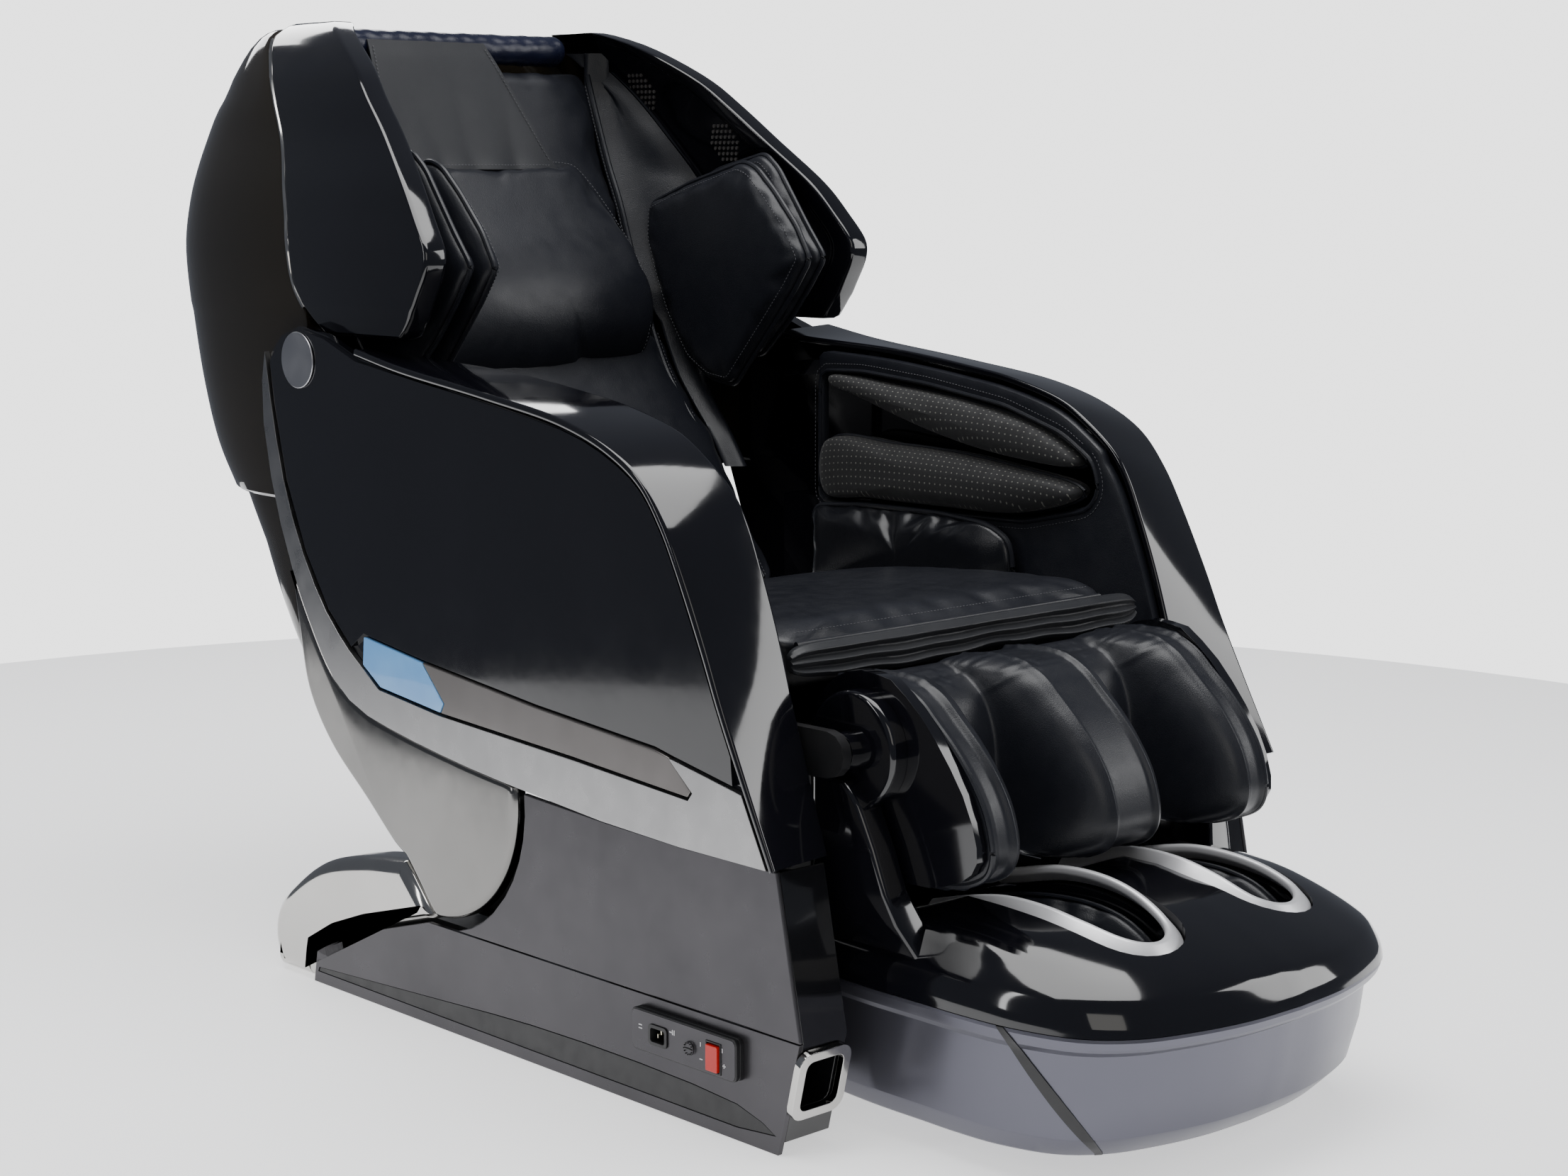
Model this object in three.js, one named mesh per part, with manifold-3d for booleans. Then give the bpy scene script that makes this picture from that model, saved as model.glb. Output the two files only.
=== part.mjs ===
// Reclining massage chair: base, tilting seat carriage with side pods, reclining backrest,
// lifting calf rest and sliding foot rest. Millimetres, +Z up, the sitter faces -Y.
// +X is the sitter's left. Side outlines are written as [y, z] pairs from the seat datum and
// the whole object is moved by LENGTH_SHIFT so that the origin lies under its middle.
import * as THREE from 'three';
import { mergeVertices } from 'three/addons/utils/BufferGeometryUtils.js';
import Module from 'manifold-3d';

const wasm = await Module();
wasm.setup();

// ---------- driving dimensions ----------
const POD_HALF_WIDTH = 404; // outer face of the side trims at their rear end
const POD_FLARE = 0.033; // outward slope of the pods' outer faces towards the front
const POD_REAR = 443; // rear end of the pods, where the flare starts
const SKIN_OUT = 400; // outer face of the base side covers
const SKIN_IN = 394; // inner face of the base side covers
const REAR_Y = 803; // rearmost point of the back shell
const FRONT_Y = -928; // front of the foot rest
const LENGTH_SHIFT = -(REAR_Y + FRONT_Y) / 2;
const TILT_PIVOT = [90, 310]; // seat tilt axis [y, z]
const BACK_PIVOT = [230, 430]; // back recline axis [y, z]
const LEG_PIVOT = [-520, 430]; // calf rest axis [y, z]
const SKIRT_TOP = 131.5;
const COVER_BOTTOM = 132.3;
const NOTCH_RADIUS = 183; // round notch in the side cover, about the tilt axis
const FIN_RADIUS = 168; // front edge of the side fin, about the tilt axis
const CALF_TOP_RADIUS = 86; // rounded knee end of the calf rest, about its axis
const FOOT_HALF_WIDTH = 291;
const RIM_Z = 172; // widest line of the foot rest
const GAP = 0.4; // clearance between parts that touch

const GLOSS_BLACK = 0x0b0b0d;
const BROWN_BLACK = 0x17140f;
const LEATHER = 0x15171b;
const SATIN_SILVER = 0xb4b4ba;
const POLISHED = 0xd6d6d8;
const BASE_GREY = 0x80818c;
const STEEL = 0x2b2c2e;

// ---------- small helpers ----------
const rad = THREE.MathUtils.degToRad;
const chair = new THREE.Group();

function add(name, geometry, color, roughness = 0.35, metalness = 0) {
  const material = new THREE.MeshStandardMaterial({ color, roughness, metalness });
  const mesh = new THREE.Mesh(geometry, material);
  mesh.name = name;
  mesh.position.y = LENGTH_SHIFT;
  chair.add(mesh);
}

// A pair of mirror-image parts: name_left lies at +X and name_right at -X.
function addPair(name, geometry, color, roughness, metalness) {
  add(`${name}_left`, geometry, color, roughness, metalness);
  add(`${name}_right`, mirror(geometry), color, roughness, metalness);
}

function mirror(geometry) {
  const copy = geometry.index ? geometry.toNonIndexed() : geometry.clone();
  const position = copy.attributes.position;
  for (let i = 0; i < position.count; i += 3) {
    const a = new THREE.Vector3().fromBufferAttribute(position, i);
    const b = new THREE.Vector3().fromBufferAttribute(position, i + 1);
    const c = new THREE.Vector3().fromBufferAttribute(position, i + 2);
    position.setXYZ(i, -a.x, a.y, a.z);
    position.setXYZ(i + 1, -c.x, c.y, c.z);
    position.setXYZ(i + 2, -b.x, b.y, b.z);
  }
  return copy;
}

function toSolid(geometry) {
  const bare = geometry.clone();
  bare.deleteAttribute('normal');
  bare.deleteAttribute('uv');
  const merged = mergeVertices(bare, 1e-3);
  return new wasm.Manifold(new wasm.Mesh({
    numProp: 3,
    vertProperties: new Float32Array(merged.attributes.position.array),
    triVerts: new Uint32Array(merged.index.array),
  }));
}

function fromSolid(solid) {
  const mesh = solid.getMesh();
  const geometry = new THREE.BufferGeometry();
  geometry.setAttribute('position', new THREE.Float32BufferAttribute(mesh.vertProperties, 3));
  geometry.setIndex(new THREE.Uint32BufferAttribute(mesh.triVerts, 1));
  return geometry;
}

function cut(geometry, ...tools) {
  return fromSolid(tools.reduce((solid, tool) => solid.subtract(toSolid(tool)), toSolid(geometry)));
}

function join(...parts) {
  return fromSolid(parts.slice(1).reduce((solid, part) => solid.add(toSolid(part)), toSolid(parts[0])));
}

function shapeOf(points) {
  return new THREE.Shape(points.map(([a, b]) => new THREE.Vector2(a, b)));
}

// Points of a smooth curve through the given [a, b] pairs.
function smooth(points, count) {
  const curve = new THREE.SplineCurve(points.map(([a, b]) => new THREE.Vector2(a, b)));
  return curve.getPoints(count).map((p) => [p.x, p.y]);
}

// Points of an arc about a centre, from one angle to another in degrees (0 = +first axis).
function arc([a, b], radius, from, to, steps) {
  const points = [];
  for (let i = 0; i <= steps; i += 1) {
    const angle = rad(from + ((to - from) * i) / steps);
    points.push([a + radius * Math.cos(angle), b + radius * Math.sin(angle)]);
  }
  return points;
}

function roundedRectangle(a, b, width, height, radius, steps = 3) {
  const dx = width / 2 - radius;
  const dy = height / 2 - radius;
  return [
    ...arc([a + dx, b + dy], radius, 0, 90, steps),
    ...arc([a - dx, b + dy], radius, 90, 180, steps),
    ...arc([a - dx, b - dy], radius, 180, 270, steps),
    ...arc([a + dx, b - dy], radius, 270, 360, steps),
  ];
}

// A side outline of [y, z] pairs made solid from x0 to x1, with optional holes.
function sidePlate(points, x0, x1, ...holes) {
  const shape = shapeOf(points);
  shape.holes = holes.map(shapeOf);
  const geometry = new THREE.ExtrudeGeometry(shape, { depth: x1 - x0, bevelEnabled: false });
  geometry.applyMatrix4(new THREE.Matrix4().set(0, 0, 1, x0, 1, 0, 0, 0, 0, 1, 0, 0, 0, 0, 0, 1));
  return geometry;
}

// The same outline with its edges rounded over, for pads.
function sidePad(points, x0, x1, radius) {
  const geometry = new THREE.ExtrudeGeometry(shapeOf(points), {
    depth: x1 - x0 - 2 * radius,
    bevelSize: radius,
    bevelThickness: radius,
    bevelOffset: -radius,
    bevelSegments: 2,
  });
  const start = x0 + radius;
  const turn = new THREE.Matrix4().set(0, 0, 1, start, 1, 0, 0, 0, 0, 1, 0, 0, 0, 0, 0, 1);
  geometry.applyMatrix4(turn);
  return geometry;
}

// A front outline of [x, z] pairs made solid from y0 back to y1.
function frontPlate(points, y0, y1, ...holes) {
  const shape = shapeOf(points);
  shape.holes = holes.map(shapeOf);
  const geometry = new THREE.ExtrudeGeometry(shape, { depth: y1 - y0, bevelEnabled: false });
  geometry.rotateX(Math.PI / 2);
  geometry.translate(0, y1, 0);
  return geometry;
}

// A plan outline of [x, y] pairs made solid from z0 up to z1.
function planPlate(points, z0, z1, ...holes) {
  const shape = shapeOf(points);
  shape.holes = holes.map(shapeOf);
  const geometry = new THREE.ExtrudeGeometry(shape, { depth: z1 - z0, bevelEnabled: false });
  geometry.translate(0, 0, z0);
  return geometry;
}

function box(x0, x1, y0, y1, z0, z1) {
  const geometry = new THREE.BoxGeometry(x1 - x0, y1 - y0, z1 - z0);
  geometry.translate((x0 + x1) / 2, (y0 + y1) / 2, (z0 + z1) / 2);
  return geometry;
}

function pin([y, z], radius, x0, x1, sides = 20) {
  const geometry = new THREE.CylinderGeometry(radius, radius, x1 - x0, sides);
  geometry.rotateZ(Math.PI / 2);
  geometry.translate((x0 + x1) / 2, y, z);
  return geometry;
}

// A closed skin over a stack of rings with equal numbers of points, capped at both ends.
function loft(rings) {
  const count = rings[0].length;
  const vertices = rings.flat();
  const index = [];
  for (let r = 0; r + 1 < rings.length; r += 1) {
    for (let i = 0; i < count; i += 1) {
      const a = r * count + i;
      const b = r * count + ((i + 1) % count);
      index.push(a, b, b + count, a, b + count, a + count);
    }
  }
  [0, rings.length - 1].forEach((r, end) => {
    const ring = rings[r];
    const normal = new THREE.Vector3();
    ring.forEach((p, i) => normal.add(new THREE.Vector3().crossVectors(p, ring[(i + 1) % count])));
    normal.normalize();
    const u = new THREE.Vector3(1, 0, 0);
    if (Math.abs(normal.x) > 0.9) u.set(0, 1, 0);
    u.addScaledVector(normal, -u.dot(normal)).normalize();
    const v = new THREE.Vector3().crossVectors(normal, u);
    const flat = ring.map((p) => new THREE.Vector2(p.dot(u), p.dot(v)));
    THREE.ShapeUtils.triangulateShape(flat, []).forEach(([a, b, c]) => {
      const offset = r * count;
      if (end) index.push(offset + a, offset + b, offset + c);
      else index.push(offset + c, offset + b, offset + a);
    });
  });
  const geometry = new THREE.BufferGeometry();
  const coordinates = vertices.flatMap((p) => [p.x, p.y, p.z]);
  geometry.setAttribute('position', new THREE.Float32BufferAttribute(coordinates, 3));
  geometry.setIndex(index);
  if (volumeOf(geometry) > 0) return geometry;
  for (let i = 0; i < index.length; i += 3) [index[i], index[i + 1]] = [index[i + 1], index[i]];
  geometry.setIndex(index);
  return geometry;
}

function volumeOf(geometry) {
  const { position } = geometry.attributes;
  const { array } = geometry.index;
  let sum = 0;
  for (let i = 0; i < array.length; i += 3) {
    const [a, b, c] = [0, 1, 2].map((k) => new THREE.Vector3().fromBufferAttribute(position, array[i + k]));
    sum += a.dot(b.cross(c));
  }
  return sum;
}

// Reads a stepped or curved quantity from [key, value] pairs.
function along(pairs, key) {
  const last = pairs.length - 1;
  const step = Math.min(Math.max(pairs.findIndex((pair) => pair[0] >= key), 1), last);
  const i = key > pairs[last][0] ? last : step;
  const [k0, v0] = pairs[i - 1];
  const [k1, v1] = pairs[i];
  return v0 + ((v1 - v0) * (key - k0)) / (k1 - k0);
}

// ---------- base ----------
const notch = arc(TILT_PIVOT, NOTCH_RADIUS, 256, 174, 9);
const coverFront = [[-529, 316], [-566, COVER_BOTTOM]];
addPair('base_cover', sidePlate(
  [...coverFront, ...notch, [-243, 321], [-378, 316]],
  SKIN_IN, SKIN_OUT,
), BASE_GREY, 0.45, 0.3);

const skirtOutline = [
  [-565, SKIRT_TOP], [-538, 22], [-532, 0], [362, 0], [354, 42], [308, 66], [238, 92], [104, SKIRT_TOP],
];
const wedgeOutline = [
  [-528, 21], [-466, 15], [353, 15],
  ...smooth([[350, 21], [64, 38], [-101, 47], [-299, 49], [-466, 42], [-528, 21]], 10).slice(0, -1),
];
const PANEL_Y = -389; // middle of the power panel
const PANEL_Z = 94.5;
const PANEL_SIZE = [173, 46];
const panelWindow = sidePlate(
  roundedRectangle(PANEL_Y, PANEL_Z, PANEL_SIZE[0] + 1, PANEL_SIZE[1] + 1, 7),
  SKIN_IN - 5, SKIN_OUT + 5,
);
const wedgePocket = sidePlate(wedgeOutline, SKIN_OUT - 3, SKIN_OUT + 5);
const skirt = cut(sidePlate(skirtOutline, SKIN_IN, SKIN_OUT), wedgePocket);
add('base_skirt_left', skirt, BASE_GREY, 0.45, 0.3);
add('base_skirt_right', mirror(cut(skirt, panelWindow)), BASE_GREY, 0.45, 0.3);
const wedgeCentre = [-90, 20];
const wedgeInlay = wedgeOutline.map(([y, z]) => [
  wedgeCentre[0] + (y - wedgeCentre[0]) * 0.997,
  wedgeCentre[1] + (z - wedgeCentre[1]) * 0.96,
]);
addPair('skirt_wedge', sidePlate(wedgeInlay, SKIN_OUT - 3 + GAP, SKIN_OUT - 0.8), 0x1c1c1f, 0.4);

// Black towers at the front corners, each with a deep foot-light pocket behind a bright bezel.
const HOUSING_IN = 327;
const BEZEL_X = 364;
const BEZEL_Z = 84;
const FACE_LEAN = Math.atan2(28, 116);
const housingOutline = [[-528, 314], [-564.5, 132], [-536, 14], [-480, 14], [-480, 314]];
const pocket = frontPlate(roundedRectangle(BEZEL_X, BEZEL_Z, 50, 60, 10), -600, -486);
addPair('front_housing', cut(sidePlate(housingOutline, HOUSING_IN, SKIN_IN - GAP), pocket), 0x101012, 0.3);
const bezelRing = frontPlate(
  roundedRectangle(0, 0, 78, 82, 17, 5), -9, 0,
  roundedRectangle(0, 0, 56, 60, 10, 4),
);
bezelRing.rotateX(FACE_LEAN);
bezelRing.translate(BEZEL_X, -554.6, BEZEL_Z);
addPair('bezel', bezelRing, POLISHED, 0.15, 1);

addPair('rear_cap', sidePlate([
  ...smooth([[160, 200], [249, 188], [344, 163], [410, 124], [452, 86], [463, 45], [450, 0]], 12),
  [366, 0], [359, 42], [310, 69], [240, 95], [107, 133], [97, 146],
], 352, SKIN_OUT), POLISHED, 0.08, 1);

// Power panel on the right skirt.
const INLET = [-348, 94];
const FUSE = [-402, 93];
const ROCKER = [-441, 91];
const PANEL_OUT = SKIN_OUT + 12; // face of the panel, which stands out from the skirt
const PANEL_BACK = SKIN_IN - 7;
const panelPlate = sidePlate(
  roundedRectangle(PANEL_Y, PANEL_Z, ...PANEL_SIZE, 6), PANEL_BACK, PANEL_OUT,
  roundedRectangle(...INLET, 29, 21, 4), roundedRectangle(...ROCKER, 21, 33, 1),
);
const fuseHolder = pin(FUSE, 8, PANEL_OUT - 18, PANEL_OUT + 3);
add('power_plate', mirror(join(panelPlate, fuseHolder)), BASE_GREY, 0.45, 0.3);
const inletMouth = roundedRectangle(...INLET, 24, 16, 3);
add('power_inlet', mirror(cut(
  join(
    sidePlate(roundedRectangle(...INLET, 28, 20, 3.5), PANEL_OUT - 22, PANEL_OUT + 2),
    sidePlate(roundedRectangle(...INLET, 32, 24, 5), PANEL_OUT + GAP, PANEL_OUT + 2),
  ),
  sidePlate(inletMouth, PANEL_OUT - 17, PANEL_OUT + 5),
)), 0x0c0c0d, 0.5);
const rockerProfile = [[-9.5, -15], [-9.5, 15], [9.5, 15], [9.5, -15]];
add('power_rocker', mirror(sidePlate(
  rockerProfile.map(([a, b]) => [ROCKER[0] + a, ROCKER[1] + b]),
  PANEL_OUT - 4, PANEL_OUT + 4,
)), 0xd81f1a, 0.3);

// Steel floor frame with the uprights that carry the seat tilt axis.
const UPRIGHT = [285, 300];
const uprightOutline = [[30, 100], [150, 100], [122, 320], ...arc(TILT_PIVOT, 30, 10, 170, 6), [58, 320]];
const oneSideOfFrame = join(
  box(-1, 384, -420, 60, 14, 118),
  box(330, 384, -479.6, -419, 14, 118),
  box(-1, 351.6, 59, 330, 14, 118),
  box(360, SKIN_IN - GAP, -360, -240, 40, 290),
  sidePlate(uprightOutline, ...UPRIGHT),
  pin(TILT_PIVOT, 12, UPRIGHT[0], 322),
  box(230, 290, -390, -330, 0, 20),
  box(230, 290, 260, 320, 0, 20),
);
add('base_frame', cut(
  join(oneSideOfFrame, mirror(oneSideOfFrame)),
  box(-340, 340, -380, 20, 40, 130),
  box(-300, 300, 90, 290, 40, 130),
  mirror(box(364, SKIN_IN + 1, -482, -296, 66, 125)),
), STEEL, 0.5, 0.6);

// ---------- seat carriage: pods, trims and seat ----------
const bandOuter = [
  [228, 839], [137, 822], [-36, 799], [-182, 776], [-263, 750], [-319, 717], [-355, 673], [-381, 627],
  [-421, 545], [-447, 486], [-480, 419], [-529, 323],
];
const bandInner = [
  [245, 832], [190, 828], [25, 820], [-59, 812], [-130, 803], [-198, 793], [-292, 768], [-338, 742],
  [-383, 707], [-405, 676], [-427, 627], [-453, 560], [-483, 466], [-532, 322],
];
const trimOuter = [
  [433, 827], [443, 758], [422, 650], [387, 561], [345, 485], [292, 416], [234, 384], [160, 368], [73, 355],
  [-19, 344], [-114, 336], [-243, 326], [-378, 321], [-517.5, 321],
];
const trimInner = [
  [420, 763], [395, 663], [354, 572], [305, 502], [256, 459], [228, 441], [191, 417], [64, 403], [-193, 390],
  [-391, 377], [-398, 386], [-360, 419], [-490, 396],
];

// Outer faces of the pods stand further out, and lean forward, towards the front.
function flare(geometry) {
  const { position } = geometry.attributes;
  for (let i = 0; i < position.count; i += 1) {
    const [x, y, z] = [position.getX(i), position.getY(i), position.getZ(i)];
    const out = x > 390 ? POD_FLARE * (POD_REAR - y) : 0;
    position.setXYZ(i, x + out, y - 1.06 * out, z + 0.2 * out);
  }
  return geometry;
}

// The band over the arm: a strip that slopes from its inner to its outer edge.
const BAND_STEPS = 26;
const BAND_THICK = 9;
const outerCurve = smooth(bandOuter, BAND_STEPS);
const innerCurve = smooth(bandInner, BAND_STEPS);
function inward(curve, i, depth) {
  const [y0, z0] = curve[Math.max(i - 1, 0)];
  const [y1, z1] = curve[Math.min(i + 1, curve.length - 1)];
  const length = Math.hypot(y1 - y0, z1 - z0);
  return [curve[i][0] - ((z1 - z0) / length) * depth, curve[i][1] + ((y1 - y0) / length) * depth];
}
const bandRings = outerCurve.map((_, i) => {
  const [a, b] = [inward(outerCurve, i, BAND_THICK), inward(innerCurve, i, BAND_THICK)];
  return [
    new THREE.Vector3(POD_HALF_WIDTH, ...outerCurve[i]), new THREE.Vector3(325, ...innerCurve[i]),
    new THREE.Vector3(325, ...b), new THREE.Vector3(POD_HALF_WIDTH, ...a),
  ];
});
addPair('arm_band', flare(loft(bandRings)), GLOSS_BLACK, 0.08);

// Pod body: a thick arm wall with the forearm channel, and a thin plate that reaches back
// beside the reclining shell.
const CORE = [331, 387];
const PLATE_OUT = 395.6;
const coreTop = outerCurve.slice(2).map((_, i) => inward(outerCurve, i + 2, BAND_THICK + 3.2));
const plateOutline = [
  ...coreTop, [-508, 323.5], [-378, 323.5], [-243, 328.5], [-114, 338.5], [-19, 346.5], [73, 357.5],
  [160, 370.5], [232, 386.5], [290, 418], [343, 487], [384.5, 562], [419.5, 651], [440, 758], [431, 824],
  [405, 848], [358, 862], [300, 852], [232, 827],
];
const deepTop = outerCurve.slice(3).map((_, i) => inward(outerCurve, i + 3, BAND_THICK + 7));
const coreOutline = [
  ...deepTop.slice(0, -1), [-498, 345], [-378, 340], [-114, 352], [73, 372], [160, 385], [232, 400],
  [232, 790],
];
const channelOutline = [
  [232.5, 602], [232.5, 770], [60, 782], [-60, 772], [-200, 752], [-300, 722], [-352, 690], [-362, 655],
  [-345, 630], [-240, 606],
];
const podPanel = [
  ...coreTop.slice(1, -3), [-462, 403], [-363, 421], [-336, 426.5], [-124, 442.5], [101, 465.5],
  [226, 482], [254, 462], [303.5, 504], [352.5, 573.5], [393.5, 663.5], [418.5, 763], [426, 815],
  [402, 843], [358, 858], [300, 848],
  [232, 823],
];
const podBody = join(
  sidePlate(plateOutline, 386, PLATE_OUT),
  sidePlate(coreOutline, ...CORE),
  sidePlate(podPanel, PLATE_OUT - 1, 401),
);
const channelCut = sidePlate(channelOutline, CORE[0] - 5, 378);
addPair('pod', flare(cut(podBody, channelCut)), GLOSS_BLACK, 0.06);

const trimEdge = smooth(trimOuter.slice(0, 11), 16);
const trimSkin = [
  ...trimEdge, ...trimOuter.slice(11), [-479, 396], [-463, 399.5], [-366, 417],
  [-362, 417], [-400.5, 385], [-393, 375.5], [-193, 388.5], [64, 401.5], [191, 415.5], [229, 440],
  ...smooth([[256, 457.5], [305, 500.5], [355.5, 571], [397, 662.5], [422, 763]], 8),
];
const trimPlate = sidePlate(trimSkin, PLATE_OUT + GAP, POD_HALF_WIDTH);
addPair('pod_trim', flare(trimPlate), SATIN_SILVER, 0.3, 0.9);
addPair('trim_insert', flare(sidePlate([
  [-396, 386], [-359, 418], [-334, 423], [-123, 439], [99.5, 462], [55.5, 417], [62.5, 404.5], [-193, 391.5],
  [-390.5, 378.5],
], PLATE_OUT + GAP, 402.4)), 0x77787c, 0.35, 0.6);
addPair('trim_lens', flare(sidePlate([
  [224, 478], [102, 462], [57.5, 417], [64.5, 404.8], [190, 418.5], [227, 442],
], PLATE_OUT + GAP, 402.4)), 0x7fc0f0, 0.15);

// Polished fin below the trim; its round front edge turns inside the cover's notch.
const finFront = arc(TILT_PIVOT, FIN_RADIUS, 270, 172, 9);
const finEdge = trimEdge.map((_, i) => inward(trimEdge, i, 1.2));
const finTop = finEdge.filter(([y]) => y < 392 && y > -60).reverse();
addPair('pod_fin', sidePlate([
  ...smooth([[390, 548], [377, 470], [358, 392], [311, 328], [233, 267], [171, 218], [148, 207]], 10),
  ...finFront, ...finTop,
], 384, POD_HALF_WIDTH - 1.5), POLISHED, 0.08, 1);
const capDisc = pin([358, 819], 36, 401 + GAP, POD_HALF_WIDTH, 32);
addPair('pod_cap', flare(capDisc), 0xcfcfd2, 0.3, 0.8);

// Inner walls and pads of the arms.
const LINER = [318, 330.6];
const linerOutline = [
  ...innerCurve.slice(3).map((_, i) => inward(innerCurve, i + 3, BAND_THICK + 6)).slice(0, -1),
  [-518, 330], [-430, 330], [-300, 420], [150, 440], [150, 805],
];
const linerHole = [
  [140, 604], [-238, 608], [-343, 632], [-360, 655], [-350, 689], [-299, 720], [-200, 750], [-60, 770],
  [60, 780], [140, 778],
];
addPair('arm_liner', sidePlate(linerOutline, ...LINER, linerHole), LEATHER, 0.45);
const ARM_PAD = [298, 376];
addPair('arm_pad_upper', sidePad([
  ...smooth([[132, 775], [-10, 766], [-150, 750], [-270, 722], [-332, 690]], 6), [-322, 682],
  ...smooth([[-250, 684], [-165, 694], [-57, 716], [90, 757], [132, 768]], 5),
], ARM_PAD[0], ARM_PAD[1], 3), 0x2b2c2d, 0.8);
addPair('arm_pad_lower', sidePad([
  ...smooth([[132, 684], [0, 688], [-121, 684], [-230, 672], [-335, 655]], 6), [-322, 640],
  ...smooth([[-235, 615], [-100, 611], [132, 611]], 4),
], ARM_PAD[0] - 8, ARM_PAD[1], 3), 0x2b2c2d, 0.8);
addPair('hip_pad', sidePad([
  ...smooth([[140, 596], [44, 604], [-100, 604], [-190, 596], [-224, 580]], 6), [-234, 548], [-228, 470],
  [140, 470],
], 287, 317.6, 8), LEATHER, 0.35);

// Seat frame: side plates that carry the three axes, and the pan under the cushion.
const FRAME_PLATE = [303, 316];
const framePlateOutline = [
  ...arc(TILT_PIVOT, 34, 180, 330, 6), [240, 392], ...arc(BACK_PIVOT, 34, 300, 450, 6),
  [150, 452], [-380, 455], [-514, 456], ...arc(LEG_PIVOT, 26, 90, 270, 6), [-400, 400], [30, 385],
];
const oneSideOfSeatFrame = cut(
  join(
    sidePlate(framePlateOutline, ...FRAME_PLATE),
    pin(BACK_PIVOT, 12, 284, FRAME_PLATE[0] + 1),
    pin(LEG_PIVOT, 9, 246, FRAME_PLATE[0] + 1),
    box(-1, FRAME_PLATE[0] + 1, -395, 120, 404, 428),
    box(FRAME_PLATE[1] - 1, CORE[0] - GAP, -300, 100, 402, 416),
  ),
  pin(TILT_PIVOT, 13, 290, 330, 20),
);
add('seat_frame', join(oneSideOfSeatFrame, mirror(oneSideOfSeatFrame)), STEEL, 0.5, 0.6);
const seatTop = smooth([[-424, 528], [-408, 545], [-228, 541], [-60, 527], [61, 506], [140, 482]], 10);
add('seat_cushion', sidePad([...seatTop, [140, 430], [-424, 430]], -284, 284, 10), LEATHER, 0.4);
const seatFlapSide = [[-450, 499], [-452, 520], [-443, 536], [-430, 538], [-430, 497]];
add('seat_flap', sidePad(seatFlapSide, -298, 298, 2), LEATHER, 0.45);

// ---------- backrest ----------
const halfWidth = [
  [962, 379], [1000, 373], [1038, 364], [1102, 339], [1150, 323], [1187, 306], [1236, 270], [1258, 232],
];
const wingFront = [
  [852, 168], [880, 146], [905, 131], [931, 116], [962, 112], [1000, 142], [1038, 175], [1102, 249],
  [1150, 308], [1187, 356], [1236, 450], [1256, 505],
];
const wingRear = [
  [852, 330], [880, 372], [914, 400], [962, 414], [1004, 425], [1067, 456], [1150, 520], [1195, 560],
  [1236, 599], [1256, 604],
];
const shellRear = [
  [632, 690], [692, 734], [772, 766], [862, 788], [935, 802], [985, 803], [1045, 798], [1090, 793],
  [1133, 780], [1165, 758], [1193, 722], [1216, 692], [1236, 664], [1248, 645],
];
const backFront = [
  [632, 400], [700, 428], [786, 455], [862, 484], [935, 512], [1045, 560], [1133, 597], [1193, 616],
  [1248, 632],
];
const wingThick = 34;
const widthAt = (z) => Math.min(along(halfWidth, Math.max(z, 962)), 379);

// One level of the back shell: straight sides, round rear corners, hollow towards the sitter.
function shellRing(z) {
  const a = widthAt(z);
  const rear = along(shellRear, z);
  const front = Math.min(along(wingRear, Math.max(z, 880)) + 1, rear - 30);
  const middle = Math.min(along(backFront, z), rear - 22);
  const radius = Math.min(0.44 * a, (rear - front) * 0.7);
  const corner = arc([a - radius, rear - radius], radius, 0, 90, 5);
  const inner = Math.min(a - 42, 290);
  const left = [[inner, front], [a, front], ...corner];
  const right = left.map(([x, y]) => [-x, y]).reverse();
  const hollow = [[15 - inner, middle], [inner - 15, middle]];
  return [...left, ...right, ...hollow].map(([x, y]) => new THREE.Vector3(x, y, z));
}
const shellLevels = [632, 692, 772, 862, 935, 985, 1045, 1090, 1133, 1165, 1193, 1216, 1236, 1248];
add('back_shell', loft(shellLevels.map(shellRing)), BROWN_BLACK, 0.06);

// Tail of the back shell, which tucks forward under the dome towards the recline axis.
const tailOuter = smooth([[658, 631.6], [640, 596], [606, 548], [552, 486], [490, 432], [424, 392]], 9);
const tailSide = [...tailOuter, [410, 402], [440, 560], [486, 631.6]];
add('lower_shell', sidePlate(tailSide, -346, 346), BROWN_BLACK, 0.08);

const wingLevels = [852, 880, 905, 931, 962, 1000, 1038, 1067, 1102, 1150, 1187, 1215, 1236, 1256];
const wingRings = wingLevels.map((z) => {
  const a = widthAt(z);
  const [front, rear] = [along(wingFront, z), along(wingRear, z)];
  const corners = [[a, front], [a, rear], [a - wingThick, rear], [a - wingThick, front]];
  return corners.map(([x, y]) => new THREE.Vector3(x, y, z));
});
addPair('wing', loft(wingRings), GLOSS_BLACK, 0.06);

const leafOutline = [
  [215, 1060], [150, 985], [118, 937], [145, 900], [195, 868], [330, 862], [392, 905], [404, 990],
  [380, 1052],
];
const leafRim = (k) => leafOutline.map(([y, z]) => [262 + (y - 262) * k, 962 + (z - 962) * k]);
addPair('shoulder_pad', join(
  sidePad(leafRim(1), 252, 281, 6),
  sidePlate(leafRim(0.7), 279, 289),
  sidePad(leafRim(0.97), 287, 314, 6),
  sidePlate(leafRim(0.4).map(([y, z]) => [y, z - 30]), 312, 341.5),
), LEATHER, 0.35);

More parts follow.
